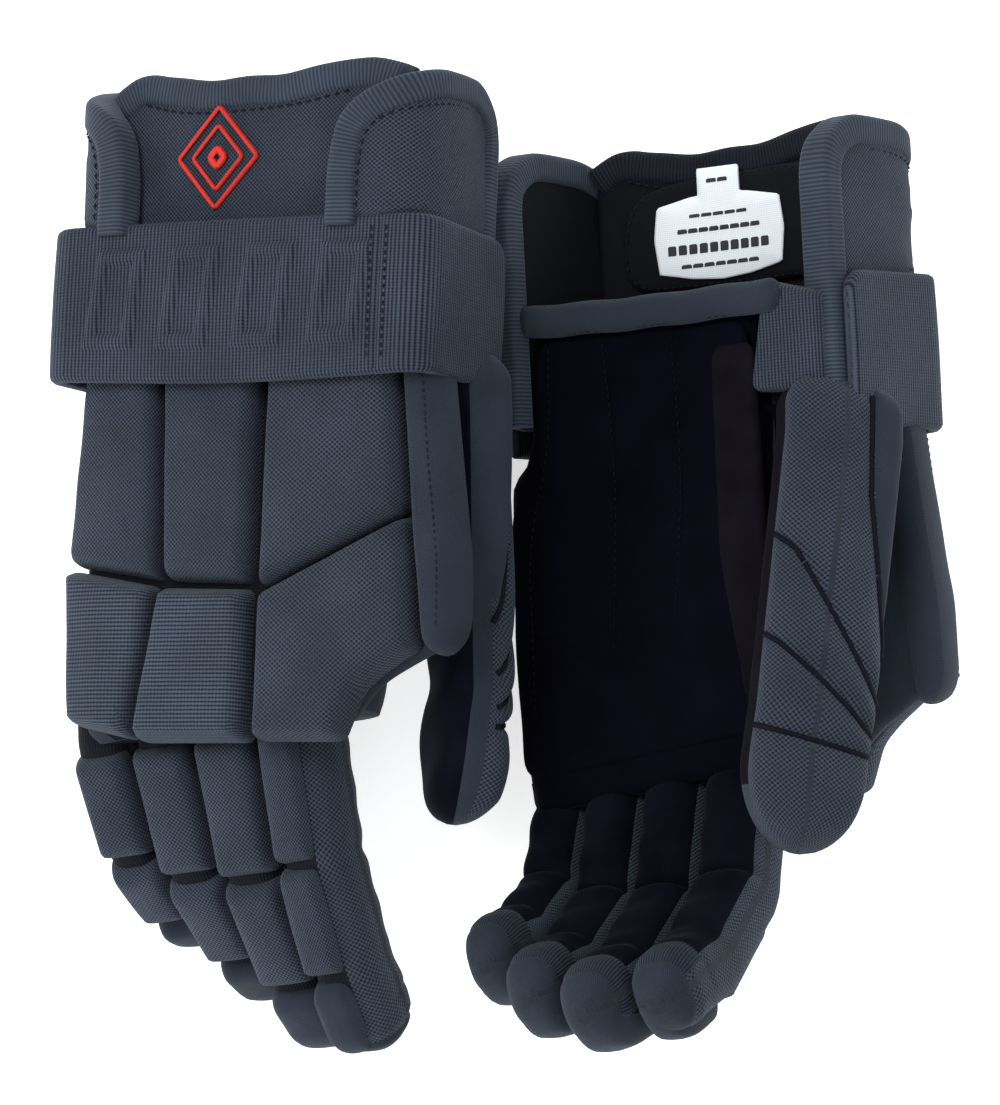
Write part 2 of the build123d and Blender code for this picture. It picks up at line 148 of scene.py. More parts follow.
# ---- materials -------------------------------------------------------------------------------
class Nodes:
    """A short way to write a material's nodes."""

    def __init__(self, name, **shader):
        self.material = bpy.data.materials.new(name)
        self.material.use_nodes = True
        self.tree = self.material.node_tree
        self.shader = self.tree.nodes["Principled BSDF"]
        for key, value in shader.items():
            self.shader.inputs[key.replace("_", " ")].default_value = value
        uv = self.add("ShaderNodeUVMap")
        uv.uv_map = "fabric"
        split = self.add("ShaderNodeSeparateXYZ")
        self.link(uv.outputs[0], split.inputs[0])
        self.uv, self.u, self.v = uv.outputs[0], split.outputs[0], split.outputs[1]
        self.where = self.add("ShaderNodeTexCoord").outputs["Object"]

    def add(self, kind):
        return self.tree.nodes.new(kind)

    def link(self, a, b):
        self.tree.links.new(a, b)

    def math(self, operation, a, b=0.0, c=0.0):
        node = self.add("ShaderNodeMath")
        node.operation = operation
        for socket, value in zip(node.inputs, (a, b, c)):
            if isinstance(value, (int, float)):
                socket.default_value = value
            else:
                self.link(value, socket)
        return node.outputs[0]

    def wave(self, socket, pitch, phase=0.0):
        """A sine of one pitch, in millimetres, from 0 to 1."""
        turned = self.math("MULTIPLY_ADD", socket, 2 * math.pi / pitch, phase)
        return self.math("MULTIPLY_ADD", self.math("SINE", turned), 0.5, 0.5)

    def grain(self, scale, detail=2.0):
        node = self.add("ShaderNodeTexNoise")
        node.inputs["Scale"].default_value = scale
        node.inputs["Detail"].default_value = detail
        self.link(self.where, node.inputs["Vector"])
        return node.outputs["Fac"]

    def ramp(self, socket, low, high, a=0.0, b=1.0):
        node = self.add("ShaderNodeMapRange")
        node.clamp = True
        self.link(socket, node.inputs[0])
        for i, value in enumerate((low, high, a, b), 1):
            node.inputs[i].default_value = value
        return node.outputs[0]

    def mix(self, factor, a, b):
        node = self.add("ShaderNodeMix")
        node.data_type = "RGBA"
        for socket, value in ((node.inputs[0], factor), (node.inputs[6], a), (node.inputs[7], b)):
            if isinstance(value, tuple):
                socket.default_value = (*value, 1.0)
            elif isinstance(value, float):
                socket.default_value = value
            else:
                self.link(value, socket)
        return node.outputs[2]

    def finish(self, colour, height=None, depth=0.3, strength=0.8, rough=None):
        self.link(colour, self.shader.inputs["Base Color"])
        if rough is not None:
            self.link(rough, self.shader.inputs["Roughness"])
        if height is not None:
            bump = self.add("ShaderNodeBump")
            bump.inputs["Strength"].default_value = strength
            bump.inputs["Distance"].default_value = depth * MM
            self.link(height, bump.inputs["Height"])
            self.link(bump.outputs[0], self.shader.inputs["Normal"])
        return self.material


def knit(name, hole, yarn, pitch_u, pitch_v, kind="mesh", depth=0.35, sheen=0.1):
    """A warp knit: mesh has holes on a diamond lattice, wales ribs and loops, rib sharper ribs."""
    n = Nodes(name, Roughness=0.85, Sheen_Weight=sheen, Sheen_Roughness=0.45,
              Specular_IOR_Level=0.16)
    n.shader.inputs["Sheen Tint"].default_value = (0.62, 0.72, 0.85, 1)
    across, along = n.wave(n.u, pitch_u), n.wave(n.v, pitch_v)
    if kind == "mesh":
        same = n.math("MULTIPLY", across, along)
        other = n.math("MULTIPLY", n.math("SUBTRACT", 1.0, across), n.math("SUBTRACT", 1.0, along))
        height = n.math("ADD", same, other)
    else:
        loops = n.wave(n.v, pitch_v)
        share = 0.3 if kind == "wales" else 0.12
        height = n.math("MULTIPLY_ADD", loops, share, n.math("MULTIPLY", across, 1 - share))
    fuzz = n.grain(2600.0, 1.0)
    height = n.math("MULTIPLY_ADD", fuzz, 0.35, height)
    patchy = n.ramp(n.grain(38.0, 4.0), 0.3, 0.7, 0.78, 1.12)
    lit = n.mix(n.ramp(height, 0.3, 0.95), hole, yarn)
    node = n.add("ShaderNodeVectorMath")
    node.operation = "SCALE"
    n.link(lit, node.inputs[0])
    n.link(patchy, node.inputs["Scale"])
    return n.finish(node.outputs[0], height, depth)


def suede(name, dark, light, sheen=0.4):
    """A brushed synthetic suede with soft darker and lighter patches."""
    n = Nodes(name, Roughness=0.95, Sheen_Weight=sheen, Sheen_Roughness=0.35,
              Specular_IOR_Level=0.06)
    n.shader.inputs["Sheen Tint"].default_value = (0.5, 0.55, 0.75, 1)
    nap, fibre = n.grain(55.0, 5.0), n.grain(2200.0, 2.0)
    height = n.math("MULTIPLY_ADD", nap, 0.8, fibre)
    return n.finish(n.mix(n.ramp(nap, 0.3, 0.75), dark, light), height, 0.18, 0.6)


# cloth: name, darkest and lightest colour, pitch across and along in mm, pattern, relief, sheen
KNITS = {
    "shell": ("shell_knit_mesh", (0.0014, 0.002, 0.0048), (0.036, 0.047, 0.07), 1.5, 1.5,
              "mesh", 0.45),
    "shell_wide": ("shell_knit_piquet", (0.0012, 0.0018, 0.0042), (0.035, 0.046, 0.068),
                   1.9, 1.6, "mesh", 0.55),
    "fine": ("shell_knit_fine", (0.006, 0.0085, 0.015), (0.021, 0.028, 0.043), 0.9,
             0.9, "mesh", 0.2),
    "course": ("knuckle_knit_ribs", (0.003, 0.0045, 0.009), (0.048, 0.062, 0.087),
               1.35, 1.3, "wales", 0.45),
    "strap": ("strap_knit_wales", (0.002, 0.003, 0.0065), (0.036, 0.047, 0.069), 1.35, 1.0,
              "wales", 0.4),
    "binding": ("binding_rib", (0.013, 0.0175, 0.028), (0.034, 0.045, 0.064), 1.35,
                0.9, "rib", 0.2),
    # The binding's inner face: a darker copy of the binding rib with less sheen, painted shade.
    "binding_in": ("binding_rib_painted_shade", (0.0015, 0.002, 0.0045), (0.008, 0.0105, 0.018),
                   1.35, 0.9, "rib", 0.2, 0.03),
    "tip_rib": ("fingertip_rib", (0.0025, 0.0035, 0.0075), (0.017, 0.023, 0.036),
                1.2, 1.0, "rib", 0.35, 0.08),
    "tip_cap": ("fingertip_knit", (0.0035, 0.0048, 0.0095), (0.02, 0.027, 0.041),
                1.0, 1.0, "mesh", 0.25, 0.08),
    # The channels' knit: the liner cloth between the back pads and between the finger rolls, darkened
    # to near black as painted shade.
    "channel": ("channel_knit", (0.0005, 0.0007, 0.0022), (0.003, 0.004, 0.008),
                1.2, 1.2, "wales", 0.3, 0.0),
    "lining": ("lining_knit", (0.0004, 0.0005, 0.0016), (0.0022, 0.0028, 0.0062),
               1.0, 1.0, "mesh", 0.2, 0.0),
}
SUEDES = {
    "suede": ("palm_suede_black", (0.0002, 0.0002, 0.0022), (0.0008, 0.001, 0.0046), 0.0),
    "patch": ("patch_suede", (0.002, 0.0016, 0.0032), (0.0055, 0.0042, 0.0075), 0.02),
    "nap": ("finger_suede", (0.0004, 0.0005, 0.0028), (0.0026, 0.0034, 0.0078), 0.05),
}
MATERIAL = {cloth: knit(*row) for cloth, row in KNITS.items()}
MATERIAL.update({cloth: suede(*row) for cloth, row in SUEDES.items()})


def thread_material(name, colour, light):
    n = Nodes(name, Roughness=0.7, Sheen_Weight=0.0, Specular_IOR_Level=0.1)
    twist = n.wave(n.math("ADD", n.u, n.v), 0.55)
    return n.finish(n.mix(twist, colour, light), twist, 0.15)


def label_material():
    """White woven damask."""
    n = Nodes("label_woven", Roughness=0.65, Sheen_Weight=0.15)
    weave = n.math("MULTIPLY", n.wave(n.u, 0.7), n.wave(n.v, 0.7))
    return n.finish(n.mix(weave, (0.66, 0.72, 0.76), (0.9, 0.94, 0.96)), weave, 0.1, 0.5)


# Near-black thread: the palm's own stitches, and also the painted shade of the cords in the thumb's
# seams.
MATERIAL["thread_black"] = thread_material("thread_black", (0.001, 0.0012, 0.003),
                                           (0.005, 0.006, 0.011))
MATERIAL["thread"] = thread_material("thread_dark", (0.003, 0.004, 0.008), (0.016, 0.021, 0.032))
MATERIAL["ink"] = thread_material("label_bars", (0.02, 0.02, 0.025), (0.06, 0.06, 0.07))
MATERIAL["emblem"] = thread_material("emblem_red", (0.4, 0.018, 0.014), (0.72, 0.05, 0.035))
MATERIAL["label"] = label_material()
SLOT = {cloth: "shell_knit" for cloth in KNITS}
SLOT.update(strap="strap_knit", binding="binding", binding_in="binding", channel="liner_fabric",
            lining="liner_fabric", suede="palm_suede", patch="palm_suede", nap="palm_suede",
            thread="thread", thread_black="thread", ink="thread", emblem="emblem", label="label")


# ---- meshes ----------------------------------------------------------------------------------
def piece(side, name, points, faces, uv, material, body="hand", replaces=(), fill=None, blend=None,
          choose=None, extra=()):
    """One object of a glove. choose gives a face's material index from its vertex numbers."""
    mesh = bpy.data.meshes.new(side + "_" + name)
    points = np.asarray(points, float)
    where = place(side, points)
    where[:, 2] = np.maximum(where[:, 2], ON_TABLE)
    faces = [list(f) for f in faces]
    if side == "left":
        faces = [f[::-1] for f in faces]
    mesh.from_pydata(where.tolist(), [], faces)
    layer = mesh.uv_layers.new(name="fabric")
    loops = np.zeros(len(mesh.loops), np.int32)
    mesh.loops.foreach_get("vertex_index", loops)
    layer.data.foreach_set("uv", np.asarray(uv, float)[loops].astype(np.float32).ravel())
    for key in (material, *extra):
        mesh.materials.append(MATERIAL[key])
    if choose is not None:
        mesh.polygons.foreach_set("material_index", [choose(f) for f in faces])
    mesh.polygons.foreach_set("use_smooth", [True] * len(faces))
    mesh.validate()
    mesh.update()
    thing = bpy.data.objects.new(side + "_" + name + "_skin", mesh)
    bpy.context.scene.collection.objects.link(thing)
    if blend:
        first, second, start, end = blend
        a, b = place(side, [start, end])
        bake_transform(thing)
    else:
        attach(thing, side + "_" + body)
    if replaces:
        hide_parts(*[side + "_" + r for r in replaces])
    return thing


def lengths_along(path):
    """Distance along a path at each of its points."""
    return np.concatenate([[0], np.cumsum(np.linalg.norm(np.diff(path, axis=0), axis=1))])


def resampled(path, step, closed=False, count=None):
    """Evenly spaced points along a path of any dimension: a step apart, or a set number of them."""
    path = np.asarray(path, float)
    if closed:
        path = np.vstack([path, path[:1]])
    along = lengths_along(path)
    count = count or max(int(round(along[-1] / step)), 2)
    at = np.linspace(0, along[-1], count + 1)
    made = np.stack([np.interp(at, along, path[:, k]) for k in range(path.shape[1])], 1)
    return made[:-1] if closed else made


def raised(line, height):
    """A 2-D line as 3-D points at one height."""
    return np.column_stack([line, np.full(len(line), height)])


def left_normals(path, closed=False):
    """Unit normals on the left of a 2-D path."""
    tangent = np.roll(path, -1, 0) - np.roll(path, 1, 0) if closed else np.gradient(path, axis=0)
    normal = np.stack([-tangent[:, 1], tangent[:, 0]], 1)
    return normal / np.linalg.norm(normal, axis=1)[:, None]


def power(values, exponent):
    """A power that keeps the sign: it squares or sharpens a circle's sines and cosines."""
    return np.sign(values) * np.abs(values) ** exponent


def bridge(a, b):
    """Quads between two closed rings of point numbers."""
    n = len(a)
    return [(a[i], a[(i + 1) % n], b[(i + 1) % n], b[i]) for i in range(n)]


def fan(ring, tip):
    """Triangles between a closed ring of point numbers and one point."""
    return [(ring[i], ring[(i + 1) % len(ring)], tip) for i in range(len(ring))]


def bridges(count, levels):
    """Quads that join the rings of a stack, with count points in each ring."""
    rings = [range(k * count, (k + 1) * count) for k in range(levels)]
    return [quad for a, b in zip(rings, rings[1:]) for quad in bridge(a, b)]


def mirrored(faces):
    return [tuple(f)[::-1] for f in faces]


def rounded(outline, radius, step=2.0, closed=True):
    """An outline with its corners rounded, as evenly spaced points."""
    pts = [np.array(p, float) for p in outline]
    made = []
    count = len(pts)
    for i, p in enumerate(pts):
        if not closed and i in (0, count - 1):
            made.append(p)
            continue
        a, b = pts[i - 1], pts[(i + 1) % count]
        cut_a = min(radius, 0.48 * np.linalg.norm(a - p))
        cut_b = min(radius, 0.48 * np.linalg.norm(b - p))
        start = p + (a - p) / np.linalg.norm(a - p) * cut_a
        end = p + (b - p) / np.linalg.norm(b - p) * cut_b
        for t in np.linspace(0, 1, 9):
            made.append((1 - t) ** 2 * start + 2 * t * (1 - t) * p + t * t * end)
    return resampled(made, step, closed)


def distance(points, path, closed=True):
    """Distance from each 2-D point to a path."""
    p = np.asarray(points, float)[:, None, :2]
    a = np.asarray(path, float)
    b = np.roll(a, -1, axis=0)
    if not closed:
        a, b = a[:-1], b[:-1]
    d = (b - a)[None]
    t = np.clip(((p - a[None]) * d).sum(2) / np.maximum((d * d).sum(2), 1e-9), 0, 1)
    return np.linalg.norm(p - (a[None] + d * t[..., None]), axis=2).min(1)


def inside(points, outline):
    """Which 2-D points are inside a closed outline."""
    x, y = np.asarray(points, float)[:, 0], np.asarray(points, float)[:, 1]
    hit = np.zeros(len(x), bool)
    a = np.asarray(outline, float)
    b = np.roll(a, -1, axis=0)
    for (x0, y0), (x1, y1) in zip(a, b):
        cross = ((y0 > y) != (y1 > y)) & (x < (x1 - x0) * (y - y0) / (y1 - y0 + 1e-12) + x0)
        hit ^= cross
    return hit


def left_turning(rim):
    """A closed outline with its inside on the left."""
    x, y = rim[:, 0], rim[:, 1]
    return rim[::-1] if (x * np.roll(y, -1) - y * np.roll(x, -1)).sum() < 0 else rim


def lumps(points, size, height, seed=0.0):
    """Low, smooth unevenness of stuffed cloth."""
    return np.array([noise.noise(Vector((p[0] / size + seed, p[1] / size, p[2] / size)))
                     for p in points]) * height


EDGE_STEPS = (0.0, 0.03, 0.1, 0.22, 0.4, 0.65, 1.0, 1.45)
INNER_STEPS = (0.12, 0.26, 0.42, 0.58, 0.74, 0.88)
UNDER_STEPS = (0.3, 0.65)
CROWN_REACH = 13.0              # a pad is nearly at its full height this far from its edge
LUMP_SIZE = 16.0


def inset_rings(rim, ray, cosine, reach, width, edge_steps, inner_steps):
    """Rings of points from a rim towards its middle, close together over the rounded edge."""
    depths = [np.minimum(s * width / cosine, 0.7 * reach) for s in edge_steps]
    depths += [depths[-1] + (reach - depths[-1]) * f for f in inner_steps]
    return [rim + ray * depth[:, None] for depth in depths]


def cushion(outline, low, high, edge=6.0, crown=1.5, corner=4.0, under=0.0, step=2.2, lump=0.35,
            seed=0.0, grooves=(), groove_depth=1.6, groove_width=1.6):
    """A closed pad over a plan outline: (u, v, w) points, faces and cloth coordinates.

    Its upper edge is rounded over `edge`, its middle stands `crown` higher, and its underside is
    rounded by `under`, or flat. Grooves are sewn lines pressed into the top."""
    rim = left_turning(rounded(outline, corner, step))
    count, middle = len(rim), rim.mean(0)
    normal = left_normals(rim, closed=True)
    reach = np.linalg.norm(middle - rim, axis=1)
    ray = (middle - rim) / reach[:, None]
    cosine = np.maximum((ray * normal).sum(1), 0.3)
    rings = inset_rings(rim, ray, cosine, reach, edge, EDGE_STEPS, INNER_STEPS)
    flat = np.vstack(rings + [middle[None]])
    d = distance(flat, rim)
    d[:count] = 0
    lift = np.sqrt(np.maximum(1 - (1 - np.clip(d / edge, 0, 1)) ** 2, 0))
    w = low + under + (high - low - under) * lift + crown * (1 - np.exp(-d / CROWN_REACH)) * lift
    top = np.column_stack([flat, w])
    if lump:
        top[:, 2] += lumps(top, LUMP_SIZE, lump, seed) * lift
    for line in grooves:
        g = distance(flat, line, closed=False)
        top[:, 2] -= groove_depth * np.exp(-(g / groove_width) ** 2) * lift
    grown = flat.copy()             # the cloth coordinates run on down the rounded edge
    for k in range(len(rings)):
        rows = slice(k * count, (k + 1) * count)
        grown[rows] -= normal * (np.maximum(high - w[rows], 0)[:, None] * 0.7)
    tip = len(rings) * count
    faces = bridges(count, len(rings)) + fan(range(tip - count, tip), tip)
    points, uv, base = [top], [grown], len(top)
    if under > 0:
        width = under * 1.2
        lower = inset_rings(rim, ray, cosine, reach, width, EDGE_STEPS[1:7], UNDER_STEPS)
        flat = np.vstack(lower + [middle[None]])
        q = 1 - np.clip(distance(flat, rim) / width, 0, 1)
        points.append(np.column_stack([flat,
                                       low + under - under * np.sqrt(np.maximum(1 - q * q, 0))]))
        uv.append(flat)
        previous = range(count)
        for k in range(len(lower)):
            ring = range(base + k * count, base + (k + 1) * count)
            faces += mirrored(bridge(previous, ring))
            previous = ring
        faces += mirrored(fan(previous, base + len(lower) * count))
    else:
        points.append(np.array([[middle[0], middle[1], low]]))
        uv.append(middle[None])
        faces += mirrored(fan(range(count), base))
    return np.vstack(points), faces, np.vstack(uv)


def loft(rings, cap_start=True, cap_end=True, uv_start=0.0):
    """A skin over equal closed rings, with cloth coordinates along and round it in millimetres."""
    rings = [np.asarray(r, float) for r in rings]
    count = len(rings[0])
    points = np.vstack(rings)
    along = lengths_along(np.array([r.mean(0) for r in rings])) + uv_start
    widest = max(rings, key=lambda r: np.linalg.norm(r - r.mean(0), axis=1).sum())
    round_ = lengths_along(np.vstack([widest, widest[:1]]))[:-1]
    uv = np.array([(a, r) for a in along for r in round_])
    faces = bridges(count, len(rings))
    total = len(points)
    extra, extra_uv = [], []
    if cap_start:
        extra.append(rings[0].mean(0))
        extra_uv.append(uv[0])
        faces += mirrored(fan(range(count), total))
    if cap_end:
        faces += fan(range(total - count, total), total + len(extra))
        extra.append(rings[-1].mean(0))
        extra_uv.append(uv[total - count])
    if extra:
        points, uv = np.vstack([points, extra]), np.vstack([uv, extra_uv])
    return points, faces, uv


def track(points, radius, step=0.5):
    """A rounded path in x and z, and the map from (t, y, w) to x, y, z; w is along its left normal."""
    path = rounded(points, radius, step, closed=False)
    along, normal = lengths_along(path), left_normals(path)

    def at(p):
        p = np.asarray(p, float)
        t = p[:, 0]
        over = np.minimum(t, 0) + np.maximum(t - along[-1], 0)
        ends = np.where(t < along[-1] / 2, 0, len(path) - 1)
        way = np.stack([normal[ends, 1], -normal[ends, 0]], 1) * over[:, None]
        x = (np.interp(t, along, path[:, 0]) + way[:, 0]
             + np.interp(t, along, normal[:, 0]) * p[:, 2])
        z = (np.interp(t, along, path[:, 1]) + way[:, 1]
             + np.interp(t, along, normal[:, 1]) * p[:, 2])
        return np.column_stack([x, p[:, 1], z])

    at.length = along[-1]
    return at


def sweep(path, low, high, inner, outer, mapping, closed=False, roundness=1.2):
    """A flattened tube along a path in (u, v): outer beyond it to inner within, low to high in w."""
    section = rounded([(-outer, low), (inner, low), (inner, high), (-outer, high)], roundness, 1.2)
    rings = [mapping(np.column_stack([p + n * section[:, :1], section[:, 1]]))
             for p, n in zip(path, left_normals(path, closed))]
    if closed:
        rings.append(rings[0])
    return loft(rings, not closed, not closed)


STITCH_PROFILE = ((0, 0.25, -0.3), (0.2, 0.85, 0.05), (0.5, 1, 0.2), (0.8, 0.85, 0.05),
                  (1, 0.25, -0.3))
STITCH_SIDES = 6
STITCH_LIFT = 0.15


def stitches(path, up, length=2.3, gap=1.2, radius=0.42):
    """Stitches along a 3-D path: one mesh of short capsules. up is the way out of the cloth."""
    path = resampled(path, 0.5)
    along = lengths_along(path)
    points, faces, uv = [], [], []
    start = gap
    around = np.linspace(0, 2 * math.pi, STITCH_SIDES + 1)[:-1]
    last = STITCH_SIDES * (len(STITCH_PROFILE) - 1)
    while start + length < along[-1]:
        ends = [np.array([np.interp(start + f * length, along, path[:, k]) for k in range(3)])
                for f, _, _ in STITCH_PROFILE]
        way = ends[-1] - ends[0]
        way /= np.linalg.norm(way) + 1e-9
        out = up(ends[2]) if callable(up) else np.asarray(up, float)
        out = out - way * out.dot(way)
        out /= np.linalg.norm(out) + 1e-9
        side_way = np.cross(way, out)
        base = len(points)
        for end, (_, r, rise) in zip(ends, STITCH_PROFILE):
            for a in around:
                points.append(end + out * (STITCH_LIFT + rise + radius * r * math.sin(a))
                              + side_way * radius * r * math.cos(a))
                uv.append((start, a))
        for quad in bridges(STITCH_SIDES, len(STITCH_PROFILE)):
            faces.append(tuple(base + i for i in quad))
        faces.append(tuple(base + i for i in reversed(range(STITCH_SIDES))))
        faces.append(tuple(base + last + i for i in range(STITCH_SIDES)))
        start += length + gap
    return np.array(points), faces, np.array(uv)


def joined(parts):
    """Several meshes as one."""
    points, faces, uv, base = [], [], [], 0
    for p, f, w in parts:
        points.append(p)
        uv.append(w)
        faces += [tuple(base + i for i in face) for face in f]
        base += len(p)
    return np.vstack(points), faces, np.vstack(uv)


def plate(outline, thick, step):
    """A flat closed plate over an outline, with a slightly sunk rim."""
    rim = left_turning(resampled(outline, step, True))
    middle, count = rim.mean(0), len(rim)
    levels = [(0.0, 0.0), (0.0, thick * 0.6), (0.035, thick), (0.4, thick), (0.75, thick)]
    points = [raised(rim + (middle - rim) * s, w) for s, w in levels]
    uv = np.vstack([p[:, :2] for p in points] + [middle[None], middle[None]])
    points = np.vstack(points + [[[*middle, thick]], [[*middle, 0.0]]])
    top = len(levels) * count
    faces = bridges(count, len(levels)) + fan(range(top - count, top), top)
    return points, faces + mirrored(fan(range(count), top + 1)), uv


def pad(side, name, outline, low, high, cloth, mapping, flip=False, fill=None, cad=True, **shape):
    """A cushion as a piece of its own, in place of the CAD node of that name if there is one."""
    p, f, uv = cushion(outline, low, high, **shape)
    piece(side, name, mapping(p), mirrored(f) if flip else f, uv, cloth,
          replaces=[name] if cad else (), fill=fill)


def sew(side, name, path, up, length, gap, radius, thread="thread", body="hand"):
    """A row of stitches as a piece of its own."""
    piece(side, name, *stitches(path, up, length, gap, radius), thread, body=body)


# ---- back of the hand ------------------------------------------------------------------------
def over_back(p):
    """The back of the hand falls away a little towards both sides."""
    p = np.array(p, float)
    outer = np.clip((-45 - p[:, 0]) / 30, 0, 1.3)
    inner = np.clip((p[:, 0] - 36) / 34, 0, 1.3)
    p[:, 2] -= 5.5 * outer ** 2 + 3.0 * inner ** 2
    return p


HALF = 0.35                     # half of the open channel between two pads
BACK_PADS = {
    "back_roll_outer": ([(OUTER_X + 3, 6), (FIRST_X - HALF, 6),
                         (FIRST_X + 4 - HALF, ROW_BREAK + 0.6),
                         (OUTER_X - 1, ROW_BREAK + 7)], "shell"),
    "back_roll_middle": ([(FIRST_X + HALF, 6), (SECOND_X - 1.9, 6),
                          (SECOND_X - 1.5, ROW_BREAK - 0.6),
                          (FIRST_X + 4 + HALF, ROW_BREAK + 0.8)], "shell"),
    "back_roll_thumb_side": ([(SECOND_X + 1.8, 6), (THUMB_X - 6, 6),
                              (THUMB_X + 0.5, ROW_BREAK + 23.3),
                              (SECOND_X + 1.6, ROW_BREAK - 2.4)], "shell_wide"),
    "knuckle_roll_outer": ([(OUTER_X - 3, ROW_BREAK + 6.2), (FIRST_X + 2 - HALF, ROW_BREAK - 0.7),
                            (FIRST_X - 6 - HALF, ROW_END + 0.5), (OUTER_X + 1, ROW_END + 6)], "course"),
    "knuckle_roll_middle": ([(FIRST_X + 2 + HALF, ROW_BREAK - 0.7),
                             (SECOND_X - 1.6, ROW_BREAK - 1.8),
                             (SECOND_X - 1.8, ROW_END), (FIRST_X - 6 + HALF, ROW_END)], "course"),
    "knuckle_roll_thumb_side": ([(SECOND_X + 1.6, ROW_BREAK - 3.6),
                                 (THUMB_X + 0.9, ROW_BREAK + 22.1),
                                 (THUMB_X + 5.5, -91), (49, -99), (41, -106), (35, ROW_END),
                                 (SECOND_X + 1.8, ROW_END)], "shell_wide"),
}


PAD_LOW, PAD_HIGH = -1.0, 13.8
SIDE_PANEL = [(51.5, 6), (66, 6), (71, -30), (75.5, -62), (76, -86), (70, -94),
              (63, -92), (57.4, -48)]
SIDE_SEAM = [(62, 5), (66, -32), (70.5, -62), (71, -86)]
BACKING = [(26, 7), (63, 7), (68, -30), (72, -60), (71, -88), (58, -95), (44, -103),
           (33, -118), (26, -118)]


def back_of_hand(side):
    for k, (name, (outline, cloth)) in enumerate(BACK_PADS.items()):
        under = 3.5 if name.endswith("thumb_side") else 0.0
        p, f, uv = cushion(outline, PAD_LOW, PAD_HIGH, edge=4.2, crown=2.0, corner=3.0, under=under,
                           lump=0.8, seed=k * 3.7)
        if cloth == "course":       # its ribs run across the hand
            uv = uv[:, ::-1]
        piece(side, name, over_back(p), f, uv, cloth, replaces=[name], fill=0.8)
    pad(side, "thumb_side_panel", SIDE_PANEL, -7.0, 13.4, "fine", over_back, fill=0.7, edge=5.5,
        crown=1.2, corner=6, under=6.5, lump=0.7, seed=9)
    seam = raised(rounded(SIDE_SEAM, 12, 1, closed=False), 13.9)
    sew(side, "thumb_side_seam", over_back(seam), (0, 0, 1), 1.6, 0.9, 0.24)
    pad(side, "pad_backing", BACKING, -5.5, 1.0, "fine", over_back, cad=False, edge=3.0, crown=0.5,
        corner=8, under=3.0, lump=0.9, seed=12)


def row_end(x):
    """y of the knuckle row's line at x."""
    return ROW_Y + (x - (ROW_START + ROW_WIDTH / 2)) * math.tan(math.radians(ROW_LEAN))


SHELL_RINGS = 46
WRIST_NARROWING = 13.0


def hand_shell(side):
    """The sewn inner glove: channels on the back, knit at the sides, open at the wrist."""
    outer = []
    for q in np.linspace(0, 1, SHELL_RINGS):
        left = SHELL_LEFT + WRIST_NARROWING * smooth(1 - min(max((q - 0.24) / 0.12, 0), 1))
        end = max((q - 0.9) / 0.1, 0)
        top, low = SHELL_TOP - 9 * end ** 2, SHELL_LOW + 6 * end ** 2
        ring = rounded([(left, low), (SHELL_RIGHT, low), (SHELL_RIGHT, top), (left, top)], 13, 2.4)
        x = ring[:, 0]
        y = MOUTH_Y + (row_end(x) + 1.0 - MOUTH_Y) * q
        wave = 0.6 * np.sin(y / 9 + x / 14) * (np.abs(x - (left + SHELL_RIGHT) / 2) > 40)
        outer.append(over_back(np.column_stack([x + wave, y, ring[:, 1]])))
    count = min(len(r) for r in outer)
    outer = [resampled(r, 0, True, count) for r in outer]
    inner = []
    for ring in outer:
        towards = (ring.mean(0) - ring) * [1, 0, 1]
        inner.append(ring + towards / np.linalg.norm(towards, axis=1)[:, None] * LINER_WALL)
    p, f, uv = loft(inner[::-1] + outer)
    heights = outer[SHELL_RINGS // 2 + 1][:, 2]

    def cloth(face):
        """Index of the cloth: the lining inside; on the back a near-black knit, painted shade in the
        channels between the pads; knit sides, suede below.
        """
        if min(face) // count < SHELL_RINGS - 1:
            return 2
        z = heights[[i % count for i in face]].mean()
        return 0 if z > -1.0 else 1 if z > -33 else 3

    # the back of the shell shows only in the channels between the pads, so its knit is near black:
    # painted shade
    piece(side, "hand_shell", p, f, uv, "channel", replaces=["hand_liner"], choose=cloth,
          extra=("fine", "lining", "suede"))


def under_hand(p):
    """Turns a pad over onto the palm and cups it a little."""
    p = np.array(p, float)
    cup = 1.6 * np.clip(1 - ((p[:, 0] + 22) / 52) ** 2, 0, 1)
    p[:, 2] = -40.2 - p[:, 2] + cup
    return p


PALM_SEAMS = [([(-30, 36), (-27, -10), (-32, -70)], 20), ([(-2, 36), (0, -10), (-6, -60)], 20),
              ([(-52, 36), (-54, 0), (-64, -30), (-65, -92)], 14)]


def palm(side):
    """The suede palm with its sewn seams, and the smoother patch beside the thumb."""
    outline = [(-58, 38), (28, 38), (28, -40), (27, row_end(27) + 12), (-72, row_end(-72) + 12),
               (-73, -60), (-72, -20), (-62, 2)]
    seams = [rounded(line, radius, 2, closed=False) for line, radius in PALM_SEAMS]
    pad(side, "palm", outline, 0.0, 2.6, "suede", under_hand, flip=True, fill=0.3, edge=2.6,
        crown=0.5, corner=8,
        lump=1.0, step=2.0, grooves=seams[:2], groove_depth=0.9, groove_width=1.2)
    for k, line in enumerate(seams):
        sew(side, "palm_seam_" + str(k), under_hand(raised(line, 3.0)), (0, 0, -1), 1.8, 1.1, 0.26,
            "thread_black")
    outline = [(14, 30), (31, 30), (33, -40), (30, -88), (21, -90), (13, -40)]
    pad(side, "palm_patch", outline, 1.6, 4.0, "patch", under_hand, flip=True, cad=False, edge=2.0,
        crown=0.4, corner=5, lump=0.8, seed=4)


